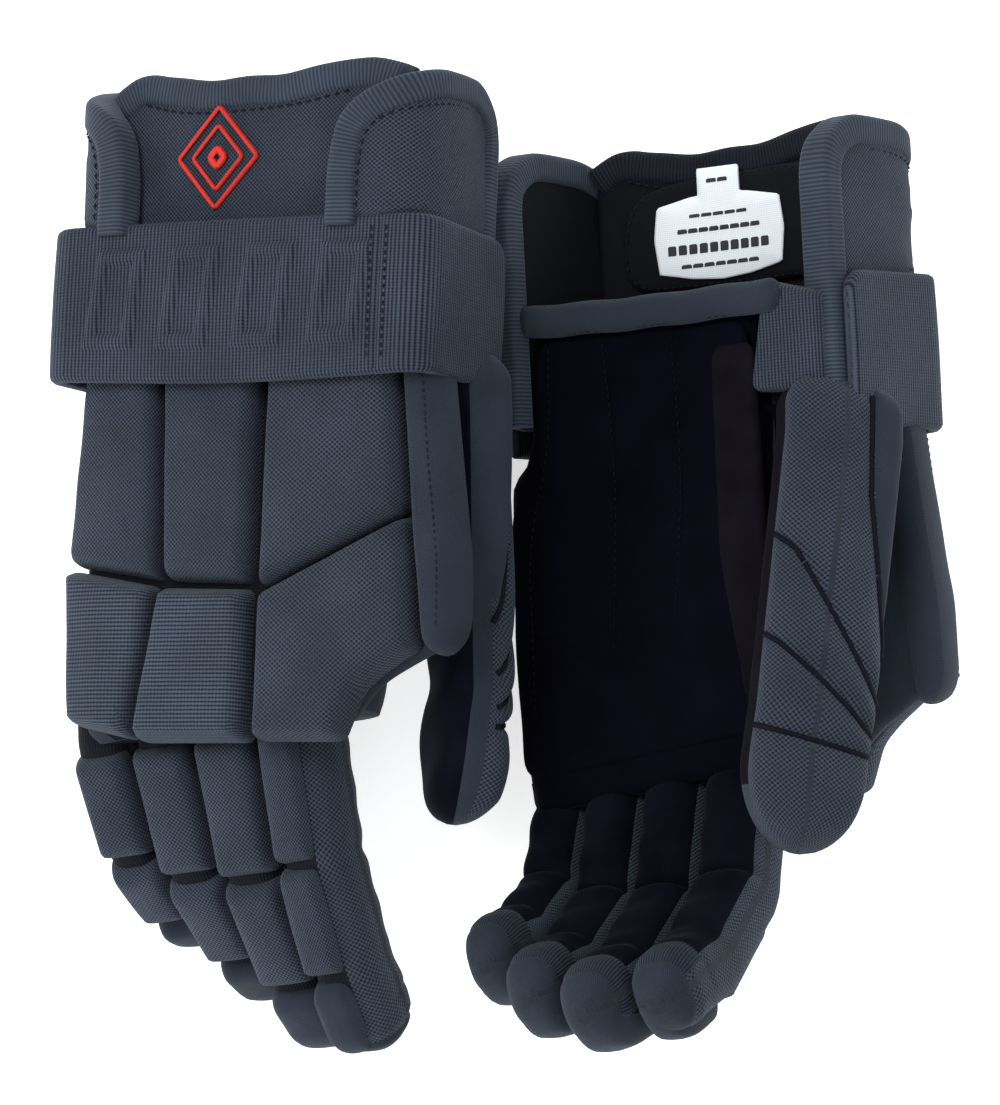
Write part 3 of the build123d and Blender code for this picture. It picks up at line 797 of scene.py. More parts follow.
# ---- cuff ------------------------------------------------------------------------------------
FLAP_TOP = [(-60.5, 98), (-48, 105), (-36, 101.5), (-24, 100), (0, 100.5), (16, 102),
            (34, 106.5), (50, 103)]
FLAP = [(50.5, 14)] + FLAP_TOP[::-1] + [(-60.5, 14)]


def over_cuff(p):
    """The back flap is a shallow arch across the wrist."""
    p = np.array(p, float)
    p[:, 2] += 2.2 - 6.0 * ((p[:, 0] + 5) / 58) ** 2 * np.clip((p[:, 1] - 10) / 40, 0, 1)
    return p


FLAP_INSIDE, BINDING_SHADED_BELOW = 7.0, 6.0   # below these heights the flap's cloth is the lining, and the binding's is a darker copy of its rib, painted shade


def cuff_flap(side):
    p, f, uv = cushion(FLAP, 4.0, 13.0, edge=4.5, crown=1.0, corner=9, under=4.0,
                       lump=0.9, step=2.0)
    piece(side, "cuff_back_flap", over_cuff(p), f, uv, "shell", replaces=["cuff_back_flap"],
          fill=0.6, choose=inner_half(p[:, 2], FLAP_INSIDE), extra=("lining",))
    down = rounded(FLAP_TOP, 12, 1.5, closed=False)[::-1]
    down[:, 1] += 0.35 * np.sin(np.arange(len(down)) * 0.37)
    levels = []

    def noted(ring):
        levels.append(ring[:, 2])
        return over_cuff(ring)

    p, f, uv = sweep(down, 2.2, 14.9, 9.4, 1.2, noted, roundness=3.0)
    # faces of the binding below its border take the darker copy of its rib: painted shade
    piece(side, "flap_binding", p, f, uv, "binding",
          choose=inner_half(np.concatenate(levels), BINDING_SHADED_BELOW), extra=("binding_in",))
    line = rounded([(x, y - 10.6) for x, y in FLAP_TOP[1:-1]], 12, 1, closed=False)
    for k, (height, way) in enumerate(((14.2, 1), (3.0, -1))):
        sew(side, "flap_stitches_" + str(k), over_cuff(raised(line, height)), (0, 0, way),
            2.2, 1.3, 0.4)


def inner_half(levels, border):
    """Picks the second material for faces that lie under the border."""
    def pick(face):
        known = [levels[i] for i in face if i < len(levels)]
        return 1 if known and sum(known) / len(known) < border else 0
    return pick


LINING_PANEL = [(-50, 54), (40, 54), (41, 84), (30, 94), (0, 93), (-30, 92), (-47, 86)]
LABEL = [(-33, 60), (-20, 57.5), (-8, 56.5), (4, 57.5), (17, 60), (18.5, 72), (17, 83), (4, 85.5),
         (0.5, 85.8), (0.5, 95), (-16.5, 95), (-16.5, 85.8), (-20, 85.5), (-33, 83), (-34.5, 72)]
# Rows of plain bars in place of text: x from and to, y from and to, and a bar's share of its cell.
LABEL_ROWS = [(-29, 13, 66, 69.4, 0.78), (-24, 8, 61.2, 62.6, 0.9), (-25, 9, 73.2, 74.8, 0.9),
              (-20, 4, 78.4, 79.6, 0.9), (-12.5, -3.5, 89.8, 91.2, 0.9)]
LABEL_LOW, LABEL_THICK, BAR_LOW, BAR_THICK, BAR_CELL = 4.4, 0.9, 5.25, 0.25, 4.2


def lining_panel(side):
    """The padded panel inside the back flap, with its stitched rim, and the woven label on it."""
    def inner(p):
        q = over_cuff(p)
        q[:, 2] = q[:, 2] - 2 * p[:, 2] + 3.2
        return q

    pad(side, "lining_panel", LINING_PANEL, 0.0, 3.4, "lining", inner, flip=True, fill=0.5,
        cad=False, edge=3.0, crown=1.2, corner=14, lump=0.5, step=2.2)
    rim = rounded(LINING_PANEL, 14, 1, closed=True)
    line = resampled(rim * 0.93 + rim.mean(0) * 0.07, 1, True)
    sew(side, "lining_stitches", inner(raised(line, 4.4)), (0, 0, -1), 1.8, 1.2, 0.28)
    p, f, uv = plate(np.array(LABEL), LABEL_THICK, 1.6)
    piece(side, "label", inner(p + [0, 0, LABEL_LOW]), mirrored(f), uv, "label", replaces=["label"])
    bars = []
    for x0, x1, y0, y1, share in LABEL_ROWS:
        cells = max(int((x1 - x0) / BAR_CELL), 1)
        for c in range(cells):
            a = x0 + (x1 - x0) * c / cells
            b = a + (x1 - x0) / cells * share
            p, f, uv = plate(np.array([(a, y0), (b, y0), (b, y1), (a, y1)]), BAR_THICK, 1.0)
            bars.append((inner(p + [0, 0, BAR_LOW]), mirrored(f), uv))
    piece(side, "label_bars", *joined(bars), "ink")


EMBLEM_X, EMBLEM_Y = -16.5, 74.0
DIAMONDS = ((15.5, 17.5, 0.85), (9.8, 11.2, 0.75), (3.0, 3.4, 1.3))   # half width, height and line


def emblem(side):
    """A generic embroidered mark on the back flap: two outlined diamonds and a small solid one."""
    parts = []
    for x, y, half in DIAMONDS:
        line = rounded([(EMBLEM_X + x, EMBLEM_Y), (EMBLEM_X, EMBLEM_Y + y),
                        (EMBLEM_X - x, EMBLEM_Y), (EMBLEM_X, EMBLEM_Y - y)], 1.2, 0.8)
        parts.append(sweep(line, 14.4, 15.7, half, half, over_cuff, closed=True, roundness=0.5))
    piece(side, "emblem", *joined(parts), "emblem")


# Each side of the cuff: its profile in x and z, the y of its foot, and which face is out.
CUFF_SIDES = {"outer": ([(-65.5, -50), (-67, -10), (-66.5, 10), (-60, 18.5), (-47, 20.5)], 8.0, 1),
              "thumb": ([(55.5, -38), (57.5, -10), (58, 8), (52, 18), (30, 21.5)], 4.0, -1)}
SIDE_FOLD = 22.0


def cuff_sides(side):
    """The two padded sides of the cuff, each folded over the back flap, with a ribbed edge."""
    for name, (profile, foot, sign) in CUFF_SIDES.items():
        track_at = track(profile, 9)
        length = track_at.length
        bend = length - SIDE_FOLD

        def way(p, track_at=track_at, sign=sign):
            return track_at(p * [1, 1, sign])

        outline = [(0, foot), (bend - 14, foot), (bend - 8, 50), (length - 1, 50), (length, 70),
                   (length - 4, 88), (bend - 8, 101), (bend - 30, 103), (16, 102.5), (0, 94)]
        p, f, uv = cushion(outline, -4.6, 4.6, edge=4.4, crown=0.8, corner=12, under=4.2, lump=0.9,
                           seed=len(name))
        piece(side, "cuff_side_" + name, way(p), f if sign > 0 else mirrored(f), uv, "shell",
              replaces=["cuff_side_" + name], fill=0.7, choose=inner_half(p[:, 2], -0.6),
              extra=("lining",))
        edge = rounded([(length - 0.5, 48), (length - 0.5, 70), (length - 4.5, 88), (bend - 8, 101.5),
                        (bend - 30, 103), (14, 103), (-0.5, 92), (-0.5, foot + 1)],
                       12, 1.5, closed=False)
        p, f, uv = sweep(edge, -6.0, 6.2, 9.4, 0.8, way, roundness=2.8)
        piece(side, "side_binding_" + name, p, f if sign > 0 else mirrored(f), uv, "binding")
        seam = rounded([(length - 10.8, 52), (length - 10.8, 70), (length - 14, 83),
                        (bend - 14, 91.5), (bend - 32, 92.3)], 12, 1, closed=False)
        points = way(raised(seam, 4.9))
        out = points - way(raised(seam, 3.9))

        def outward(at, points=points, out=out):
            return out[np.argmin(np.linalg.norm(points - at, axis=1))]

        sew(side, "side_stitches_" + name, points, outward, 2.2, 1.3, 0.36)


WELT_START, WELT_END, WELT_Y, WELT_Z = -62.0, 44.0, 44.4, -43.6
WELT_SIDES = 24
GUSSET = [(29, 13), (57, 11), (58, 44), (36, 50)]


def welt_sag(x):
    return 0.9 * math.sin((x + 60) / 97 * math.pi)


def welt(side):
    """The padded roll across the palm side of the wrist, its two seams and a ribbed gusset."""
    rings = []
    around = np.linspace(0, 2 * math.pi, WELT_SIDES + 1)[:-1]
    for x in np.linspace(WELT_START, WELT_END, 66):
        end = min(x - WELT_START, WELT_END - x)
        size = math.sqrt(max(1 - (1 - min(end / 4.5, 1)) ** 2, 0.02))
        sag = welt_sag(x) + 0.25 * math.sin(x / 4.3)
        y = WELT_Y - sag + 5.6 * size * power(np.cos(around), 0.7)
        rings.append(np.column_stack([np.full(WELT_SIDES, x), y,
                                      WELT_Z + 4.2 * size * np.sin(around)]))
    p, f, uv = loft(rings)
    piece(side, "wrist_welt", p, mirrored(f), uv, "fine", replaces=["wrist_welt"], fill=0.8)
    pad(side, "wrist_gusset", GUSSET, -1.0, 3.0, "strap", under_hand, flip=True, cad=False,
        edge=1.8, crown=0.6, corner=3)
    for k, y in enumerate((39.6, 49.0)):
        line = np.array([(x, y - welt_sag(x), -45.4) for x in np.arange(-58, 40, 1.0)])
        sew(side, "welt_stitches_" + str(k), line, (0, 0, -1), 1.8, 1.1, 0.3)


TAB = [(-1, 9), (10, 11), (12, 26), (10, 42), (-1, 44)]
TAB_SEAMS = ([(1, 12), (1, 41)], [(2, 13), (9, 26)], [(2, 40), (9, 27)])


def tab(side):
    """The folded end of the strap, sewn to the little-finger side of the wrist."""
    way = track([(-74.5, -34), (-74, -44), (-66, -47)], 3)
    pad(side, "strap_tab", TAB, -3.6, 3.6, "strap", lambda p: way(p * [1, 1, -1]), flip=True,
        edge=2.4, crown=0.6, corner=4, under=2.2, step=1.6)
    seams = [stitches(way(raised(resampled(line, 1), -4.3)), (-1, 0, -0.3), 1.6, 0.9, 0.32)
             for line in TAB_SEAMS]
    piece(side, "tab_stitches", *joined(seams), "thread")


# ---- strap -----------------------------------------------------------------------------------
BLOCKS, BLOCK_START, BLOCK_STEP, BLOCK_WIDE, BLOCK_LEAN = 4, 62.0, 28.5, 18.0, 5.0
BLOCK_LOW, BLOCK_HIGH, BLOCK_RISE, BLOCK_LINE = 10.5, 41.5, 1.4, 4.0


def emboss(t, y):
    """Height of the raised geometric shapes on the strap: slanted blocks with a raised outline."""
    flat = np.column_stack([t, y])
    height = np.zeros(len(flat))
    for k in range(BLOCKS):
        x = BLOCK_START + k * BLOCK_STEP
        shape = np.array([(x, BLOCK_LOW), (x + BLOCK_WIDE, BLOCK_LOW),
                          (x + BLOCK_WIDE + BLOCK_LEAN, BLOCK_HIGH), (x + BLOCK_LEAN, BLOCK_HIGH)])
        d = distance(flat, shape)
        depth = np.where(inside(flat, shape), d, -d)
        for border, sign in ((0.0, 1), (BLOCK_LINE, -1)):
            height += sign * BLOCK_RISE * np.clip((depth - border) / 1.2 + 0.5, 0, 1)
    return height


STRAP_PATH = [(-76.5, -31.5), (-76.8, 19.3), (65.4, 19.6), (65, -36)]
STRAP_BLEND = ((-76.5, 25.0, 12.5), (-68.5, 25.0, 20.0))
STRAP_CORNER, STRAP_TUCK = 9.0, 7.0      # how the ends' corners are rounded
STRAP_SECTION = np.array([(-2.5, y) for y in np.linspace(2.2, 48.8, 50)]
                         + [(-2.2, 50.0), (-1.0, 50.9), (1.0, 50.9), (2.2, 50.0)]
                         + [(2.5, y) for y in np.linspace(48, 3, 12)]
                         + [(2.2, 1.0), (1.0, 0.1), (-1.0, 0.1), (-2.2, 1.0)])


def strap(side):
    """The wrist strap: rounded ends, raised shapes, a sewn crease and a loose lower edge."""
    way = track(STRAP_PATH, 10)
    length = way.length
    outer = STRAP_SECTION[:, 0] < -2.4
    rings, cloth_uv = [], []
    stations = np.concatenate([np.linspace(0, 5.0, 8)[:-1], np.arange(5.0, length - 5.0, 0.95),
                               np.linspace(length - 5.0, length, 9)])
    for t in stations:
        close = math.sqrt(max(1 - (1 - min(min(t, length - t) / 2.2, 1)) ** 2, 0.01))
        corner = max(STRAP_CORNER - (length - t), 0) / STRAP_CORNER
        tuck = min(STRAP_CORNER * (1 - math.sqrt(max(1 - corner ** 2, 0))), STRAP_TUCK)
        y = STRAP_MIDDLE + (STRAP_SECTION[:, 1] - STRAP_MIDDLE) * (STRAP_HALF - tuck) / STRAP_HALF
        along = np.full(len(y), t)
        w = STRAP_SECTION[:, 0] * close
        w = w - outer * emboss(along, y) * (close > 0.99) - outer * 0.5 * np.sin(y / 51 * math.pi)
        w = w + outer * 1.1 * math.exp(-((t - (length - 68)) / 1.1) ** 2)
        loose = math.exp(-((t - length * 0.5) / (length * 0.3)) ** 2)
        sag = np.clip((STRAP_MIDDLE - y) / STRAP_HALF, -0.3, 1) * 3.4 * loose
        wrinkle = 0.5 * np.sin(t / 7.0 + y / 13.0) * np.clip((20 - y) / 20, 0, 1)
        rings.append(way(np.column_stack([along, y - sag, -w + wrinkle * outer * 0.6])))
        cloth_uv.append(np.column_stack([along, y]))
    p, f, uv = loft(rings)
    uv[:len(stations) * len(STRAP_SECTION)] = np.vstack(cloth_uv)
    piece(side, "wrist_strap", p, f, uv, "strap", replaces=["wrist_strap"],
          blend=("hand", "strap", *STRAP_BLEND))
    for k, (t, out) in enumerate(((length - 70.5, (0, 0, 1)), (length - 65, (0, 0, 1)),
                                  (8, (-1, 0, 0)))):
        line = way(raised(resampled([(t, 2.5), (t, 48.5)], 1), 3.0))
        sew(side, "strap_stitches_" + str(k), line, out, 1.8, 1.0, 0.3,
            body="strap" if k < 2 else "hand")


# ---- fingers ---------------------------------------------------------------------------------
BEND_REACH = 9.0                # a sleeve turns over this much on each side of a joint
SLEEVE_TOP, SLEEVE_LOW, SLEEVE_SIDES, SLEEVE_START, SLEEVE_NOSE = 6.0, -21.0, 36, -12.0, 13.0
SUEDE_SHORT, BAND_SHORT, BACK_SHORT = 17.0, 7.0, 14.0    # where cloths end, back from the tip


def smooth(t):
    t = np.clip(t, 0, 1)
    return t * t * (3 - 2 * t)


def chained(points, frames, starts):
    """Points of a straight finger (x, distance from the first joint, z) bent along its frames.

    frames[0] carries what comes before the first joint."""
    p = np.asarray(points, float)
    result = 0.0
    for k, (at, start) in enumerate(zip(frames, starts)):
        moved = carried(at, np.column_stack([p[:, 0], start - p[:, 1], p[:, 2]]))
        w = smooth((p[:, 1] - start + BEND_REACH) / (2 * BEND_REACH))[:, None] if k else 1.0
        result = result * (1 - w) + moved * w
    return result


def finger_ring(s, width, total, joints):
    """A ring of the straight sleeve at distance s, palm side down, and the angles of its points."""
    nose = max(s - (total - SLEEVE_NOSE), 0) / (SLEEVE_NOSE + 0.2)
    shrink = math.sqrt(max(1 - nose ** 3.0, 0.0025))
    pinch = sum(0.4 * math.exp(-((s - j) / 3.0) ** 2) for j in joints)
    half_x = (width / 2 - 0.25 - 0.45 * pinch) * shrink
    half_z = ((SLEEVE_TOP - SLEEVE_LOW) / 2 - 0.5 * pinch) * shrink
    turned = np.linspace(0, 2 * math.pi, SLEEVE_SIDES + 1)[:-1]
    z = (SLEEVE_TOP + SLEEVE_LOW) / 2 + 2.0 * nose + half_z * power(np.sin(turned), 0.8)
    ring = np.column_stack([half_x * power(np.cos(turned), 0.72), np.full(SLEEVE_SIDES, s), z])
    # creases where the cloths meet, and wrinkles in the suede
    inward = 0.5 * math.exp(-(s - (total - SUEDE_SHORT)) ** 2) * (np.sin(turned) < 0.2)
    inward = inward + 1.1 * math.exp(-(s - (total - BAND_SHORT)) ** 2)
    if s < total - SUEDE_SHORT:
        inward += 0.45 * np.sin(s / 2.4 + np.cos(turned)) * np.clip(-np.sin(turned), 0, 1)
    away = ring - [0, s, -7.5]
    return ring - away / (np.linalg.norm(away, axis=1)[:, None] + 1e-6) * inward[:, None], turned


def finger(side, name):
    """Three sleeves, each blended over one joint, and the rolls on the finger's back."""
    width, lengths = FINGER_WIDTH[name], FINGER_LENGTHS[name]
    frames = finger_frames(name, POSE[side][name])
    starts = (0.0, 0.0, lengths[0], lengths[0] + lengths[1])
    chain = [finger_row() @ shift(finger_centre(name), 0, 0)] + frames
    total = sum(lengths)
    cuts = (SLEEVE_START, lengths[0] * 0.5, lengths[0] + lengths[1] * 0.5, total)
    bodies = ("hand", name + "_proximal", name + "_middle", name + "_distal")

    def cloth(face, rows, turned):
        """Index of the cloth at a face: suede below, knit at the sides, and on top a near-black knit,
        painted shade where the top shows between the rolls.
        """
        keep = [i for i in face if i < len(rows)]
        s, at = rows[keep].mean(), turned[keep]
        open_side, up = np.cos(at).mean(), np.sin(at).mean()
        if s > total - BAND_SHORT:
            return 3
        if name == "index" and open_side > 0.15 and up > -0.3:
            return 4
        # the sleeve's top shows only between the rolls: a near-black knit, painted shade
        if up > 0.5 and s < total - BACK_SHORT:
            return 5
        if s > total - SUEDE_SHORT:
            return 2 if up < 0.3 else 0
        return 1 if up < -0.45 else 0

    for k in range(3):
        count = max(int((cuts[k + 1] - cuts[k]) / 1.3), 4)
        rows = np.linspace(cuts[k], cuts[k + 1], count + 1)
        rings = [finger_ring(s, width, total, starts[1:]) for s in rows]
        bent = [chained(ring, chain, starts) for ring, _ in rings]
        p, f, uv = loft(bent, k == 0, k == 2, uv_start=cuts[k])
        rows = np.repeat(rows, SLEEVE_SIDES)
        turned = np.concatenate([turned for _, turned in rings])
        start = carried(chain[k], [(0, BEND_REACH - (starts[k + 1] - starts[k]), 0)])[0]
        end = carried(chain[k + 1], [(0, -BEND_REACH, 0)])[0]
        piece(side, name + "_sleeve_" + str(k), p, f, uv[:, ::-1], "shell",
              choose=lambda face, rows=rows, turned=turned: cloth(face, rows, turned),
              extra=("nap", "tip_rib", "tip_cap", "shell_wide", "channel"),
              blend=(bodies[k], bodies[k + 1], start, end))
    for k, segment in enumerate(SEGMENTS):
        finger_roll(side, name, k, segment, frames[k], width, lengths[k])


def finger_roll(side, name, k, segment, at, width, length):
    """The foam roll on the back of one finger section; the last one wraps over the fingertip."""
    half, corner = width / 2 - 0.6, 3.5
    outline = [(-half, -0.4), (half, -0.4), (half, 0.4 - length), (-half, 0.4 - length)]
    if k == 2:
        corner, end = 7, half * 0.62
        outline = [(-half, -1.2), (half, -1.2), (half, 9 - length), (end, 0.5 - length),
                   (-end, 0.5 - length), (-half, 9 - length)]
    p, f, uv = cushion(outline, 2.0, 10.8, edge=4.4, crown=2.0, corner=corner, lump=0.6, step=1.8,
                       seed=len(name) + k * 2.1 + (side == "left") * 5)
    if k == 2:
        drop = np.clip((-p[:, 1] - (length - 16)) / 16, 0, 1.1)
        p[:, 2] -= 8.5 * drop ** 2
    p[:, 2] -= 1.6 * np.clip(np.abs(p[:, 0]) / half, 0, 1) ** 3
    if name == "index":             # its thumb side is left to an open-mesh gusset
        p[:, 0] = -half + (p[:, 0] + half) * 0.66
    cloth = "fine" if k == 2 else "shell"
    piece(side, name + "_roll_" + segment, carried(at, p), f, uv, cloth, body=name + "_" + segment,
          replaces=[name + "_" + segment], fill=0.85)


# ---- thumb -----------------------------------------------------------------------------------
THUMB_LENGTH = THUMB_BASE + THUMB_TIP
THUMB_NOSE = 30.0               # length of the rounded end
THUMB_HALF_WIDE, THUMB_HALF_THICK = 20.6, 12.0
THUMB_SIDES = 96
THUMB_CUTS = (-20.0, 46.0, THUMB_LENGTH)
# Sewn lines across the thumb's outer face, as (distance from the hinge, height): back edge last.
THUMB_SEAMS = [[(36, -32.6), (42, -25), (89, 8.6)], [(70, -32.6), (74, -27), (100, 8.6)],
               [(101, -32.6), (106, 8.6)], [(-14, -5), (20, -2), (72, 8.6)]]
SEAM_HALF, CORD_RADIUS = 20.5, 0.95


def thumb_chained(points, base, tip):
    """Points of a straight thumb (x, distance from the hinge, z) bent at its second hinge."""
    p = np.asarray(points, float)
    first = carried(base, np.column_stack([p[:, 0], -p[:, 1], p[:, 2]]))
    local = np.column_stack([p[:, 0] - THUMB_AXIS_X, THUMB_BASE - p[:, 1], p[:, 2] + THUMB_UP])
    w = smooth((p[:, 1] - THUMB_BASE + BEND_REACH) / (2 * BEND_REACH))[:, None]
    return first * (1 - w) + carried(tip, local) * w


def thumb_ends(k, base, tip):
    """Where the blend over one of the thumb's hinges starts and ends."""
    if k == 0:
        return carried(base, [(0, BEND_REACH, 0), (0, -BEND_REACH, 0)])
    return (carried(base, [(THUMB_AXIS_X, BEND_REACH - THUMB_BASE, -THUMB_UP)])[0],
            carried(tip, [(0, -BEND_REACH, 0)])[0])


def thumb_section(s):
    """Half height, half thickness, middle height and nose share at a distance along the thumb."""
    nose = max(s - (THUMB_LENGTH - THUMB_NOSE), 0) / (THUMB_NOSE + 0.1)
    wide = THUMB_HALF_WIDE * math.sqrt(max(1 - nose ** 2.1, 0.002))
    thick = THUMB_HALF_THICK * math.sqrt(max(1 - nose ** 3.2, 0.004))
    return wide, thick, -THUMB_UP + 1.5 * nose - 2.0 * max(-s, 0) / 20, nose


def thumb_surface(s, z):
    """x of the thumb's outer face, without its quilting, at a distance and a height."""
    wide, thick, middle, _ = thumb_section(s)
    d = min(abs((z - middle) / wide), 1.0) ** (1 / 0.85)
    return thick * math.sqrt(max(1 - d * d, 0)) ** 0.6


def tube(path, radius):
    """A round cord along a 3-D path."""
    tangent = np.gradient(path, axis=0)
    across = np.cross(tangent / np.linalg.norm(tangent, axis=1)[:, None], (0.3, 0.2, 0.9))
    across /= np.linalg.norm(across, axis=1)[:, None]
    third = np.cross(tangent / np.linalg.norm(tangent, axis=1)[:, None], across)
    a = np.linspace(0, 2 * math.pi, 9)[:-1, None]
    return loft([p + radius * (np.cos(a) * u + np.sin(a) * v) for p, u,
                 v in zip(path, across, third)])


def thumb_seams(side, k, base, tip, blend):
    """A near-black cord in each sewn line of the thumb's outer face: the seam line is real, and its
    black is painted shade at the bottom of the groove.
    """
    parts = []
    for line in THUMB_SEAMS:
        line = resampled(line, 1.0)
        s, z = line.T
        line = line[(s >= THUMB_CUTS[k]) & (s <= THUMB_CUTS[k + 1])
                    & (np.abs(z + THUMB_UP) < SEAM_HALF)]
        if len(line) < 4:
            continue
        x = np.array([thumb_surface(s, z) for s, z in line]) - 0.35
        parts.append(tube(thumb_chained(np.column_stack([x, line]), base, tip), CORD_RADIUS))
    # the cords are near black: painted shade in the seams' grooves
    piece(side, "thumb_seams_" + str(k), *joined(parts), "thread_black", blend=blend)


def thumb_ring(s, around):
    """A ring of the straight thumb: quilted outside between its seams, wrinkled suede inside."""
    wide, thick, middle, nose = thumb_section(s)
    tuck = math.sqrt(max(1 - (max(-9.0 - s, 0) / 11.2) ** 2, 0.02))      # the rounded start
    c, d = np.cos(around), np.sin(around)
    x = thick * tuck * power(c, 0.6)
    z = middle + wide * (0.3 + 0.7 * tuck) * power(d, 0.85)
    face = np.column_stack([np.full(len(z), s), z])
    gap = np.min([distance(face, line, closed=False) for line in THUMB_SEAMS], axis=0)
    quilt = 2.2 * (1 - np.exp(-(gap / 1.9) ** 2)) + 2.0 * (1 - np.exp(-(gap / 8.0) ** 2))
    x = x + smooth((c - 0.1) / 0.35) * (quilt - 0.6) * min(max((THUMB_LENGTH - s) / 10, 0), 1)
    z = z - np.sign(d) * 1.1 * np.exp(-((c - 0.12) / 0.13) ** 2) * (1 - nose)
    wrinkle = 0.7 * np.sin(s / 5.5 + z / 9.0) * (c < -0.2)
    return np.column_stack([x + wrinkle, np.full(len(z), s), z])


def thumb(side):
    """Two sleeves, each bent along the thumb's frames, with the near-black cords of painted shade in
    their seams.
    """
    base, tip = thumb_frames(POSE[side]["thumb"])
    around = np.linspace(0, 2 * math.pi, THUMB_SIDES + 1)[:-1]
    bodies = ("hand", "thumb_base", "thumb_tip")
    for k in range(2):
        first, last = THUMB_CUTS[k:k + 2]
        rows = np.linspace(first, last, int((last - first) / 1.15) + 1)
        rings = [thumb_ring(s, around) for s in rows]
        p, f, uv = loft([thumb_chained(ring, base, tip) for ring in rings], k == 0, k == 1,
                        uv_start=first)
        blend = (bodies[k], bodies[k + 1], *thumb_ends(k, base, tip))
        thumb_seams(side, k, base, tip, blend)

        def cloth(face, straight=np.vstack(rings)):
            """Index of the cloth at a face: mesh outside, fine knit behind, dark rim, suede inside."""
            keep = [i for i in face if i < len(straight)]
            if len(keep) < 4:
                return 0
            _, s, z = straight[keep].mean(0)
            open_side = np.cos(around[[i % THUMB_SIDES for i in keep]]).mean()
            if open_side > 0.14:
                return 3 if s < 64 and z > np.interp(s, (-14, 20, 66), (-4, -1, 8)) else 0
            if open_side > -0.12:
                return 2 if z < -THUMB_UP and s < THUMB_LENGTH - 20 else 3
            return 1

        piece(side, "thumb_sleeve_" + str(k), p, f, uv[:, ::-1], "shell_wide", choose=cloth,
              extra=("nap", "patch", "fine"), blend=blend, replaces=[bodies[k + 1]])


WEB_START, WEB_END, WEB_THICK = 8.0, -84.0, 1.6


def thumb_web(side):
    """The soft skin between the palm's edge and the thumb: it follows both."""
    base = thumb_frames(POSE[side]["thumb"])[0]
    rows, across = np.linspace(WEB_START, WEB_END, 47), np.linspace(0, 1, 15)
    grid, uv = [], []
    for y in rows:
        low = np.array([29.0, y, -38.5])
        high = carried(base, [(-9.0, y + 8.0, -29.0)])[0]
        deep = 5.0 + 3.0 * math.sin((8 - y) / 92 * math.pi)
        for t in across:
            q = low * (1 - t) + high * t
            q[2] += deep * math.sin(t * math.pi) + 0.5 * math.sin(y / 5.0 + t * 4)
            grid.append(q)
            uv.append((t * 20, y))
    grid = np.array(grid)
    number = np.arange(len(grid)).reshape(len(rows), len(across))
    total = len(grid)
    faces = []
    for a, b, c, d in zip(*(part.ravel() for part in (number[:-1, :-1], number[:-1, 1:],
                                                      number[1:, 1:], number[1:, :-1]))):
        faces += [(a, b, c, d), (total + a, total + d, total + c, total + b)]
    rim = [*number[0], *number[1:, -1], *number[-1, -2::-1], *number[-2:0:-1, 0]]
    faces += [(b, a, c, d) for a, b, d, c in bridge(rim, [total + i for i in rim])]
    start, end = (27.0, -40.0, -38.0), carried(base, [(-6.0, -32.0, -29.0)])[0]
    piece(side, "thumb_web", np.vstack([grid, grid + [0, 0, WEB_THICK]]), mirrored(faces), uv + uv,
          "nap", blend=("hand", "thumb_base", start, end))


# ---- both gloves -----------------------------------------------------------------------------
for each in SIDES:
    back_of_hand(each)
    hand_shell(each)
    palm(each)
    cuff_flap(each)
    lining_panel(each)
    emblem(each)
    cuff_sides(each)
    welt(each)
    tab(each)
    strap(each)
    for finger_name in FINGER_WIDTH:
        finger(each, finger_name)
    thumb(each)
    thumb_web(each)


# ---- floor, light and camera -----------------------------------------------------------------
def area_light(name, where, aim, size, power, colour=(1, 1, 1)):
    light = bpy.data.lights.new(name, "AREA")
    light.shape = "DISK"
    light.size = size
    light.energy = power
    light.color = colour
    lamp = bpy.data.objects.new(name, light)
    lamp.location = where
    lamp.rotation_euler = (Vector(aim) - Vector(where)).to_track_quat("-Z", "Y").to_euler()
    bpy.context.scene.collection.objects.link(lamp)


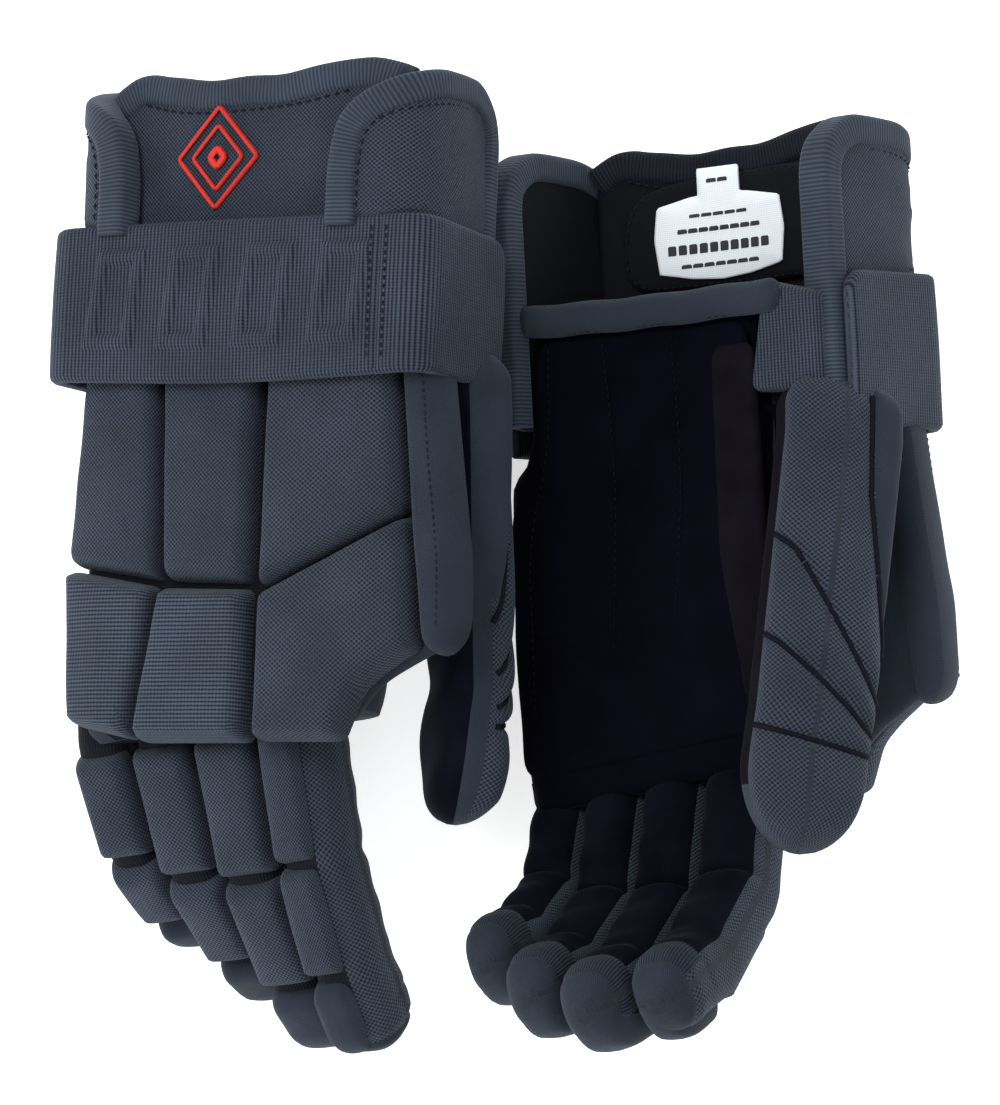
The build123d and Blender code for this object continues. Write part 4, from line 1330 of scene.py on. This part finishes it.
def studio():
    mesh = bpy.data.meshes.new("floor")
    half = 3.0
    corners = [(-half, -half, 0), (half, -half, 0), (half, half, 0), (-half, half, 0)]
    mesh.from_pydata(corners, [], [(0, 1, 2, 3)])
    floor = bpy.data.objects.new("floor", mesh)
    paper = bpy.data.materials.new("paper")
    paper.use_nodes = True
    shader = paper.node_tree.nodes["Principled BSDF"]
    shader.inputs["Base Color"].default_value = (0.93, 0.93, 0.93, 1)
    shader.inputs["Roughness"].default_value = 0.95
    shader.inputs["Emission Color"].default_value = (1, 1, 1, 1)
    shader.inputs["Emission Strength"].default_value = 0.6
    mesh.materials.append(paper)
    bpy.context.scene.collection.objects.link(floor)
    world = bpy.data.worlds.new("studio")
    world.use_nodes = True
    world.node_tree.nodes["Background"].inputs[0].default_value = (1, 1, 1, 1)
    world.node_tree.nodes["Background"].inputs[1].default_value = 0.75
    bpy.context.scene.world = world
    area_light("key", (-0.55, 0.55, 1.3), (0, 0, 0.05), 0.6, 14)
    area_light("fill", (0.7, -0.1, 1.3), (0, 0, 0.05), 0.9, 8, (0.93, 0.96, 1))
    area_light("rim", (-0.9, -0.7, 0.35), (-0.05, -0.08, 0.06), 0.4, 7, (0.9, 0.95, 1))
    bpy.context.scene.view_settings.view_transform = "Standard"
    bpy.context.scene.view_settings.look = "None"


CAMERA_HEIGHT = 2.20            # above the table
CAMERA_Y, SENSOR = 0.0027, 24.0
VIEW_TALL = 0.3720              # height of the view in the plane of the gloves' middle
MIDDLE_HEIGHT = 0.08


def camera():
    lens = bpy.data.cameras.new("camera")
    lens.sensor_fit = "VERTICAL"
    lens.sensor_height = SENSOR
    lens.lens = SENSOR * (CAMERA_HEIGHT - MIDDLE_HEIGHT) / VIEW_TALL
    lens.dof.use_dof = False
    lens.clip_start = 0.05
    eye = bpy.data.objects.new("camera", lens)
    eye.location = (0.0, CAMERA_Y, CAMERA_HEIGHT)
    bpy.context.scene.collection.objects.link(eye)
    bpy.context.scene.camera = eye


studio()
camera()
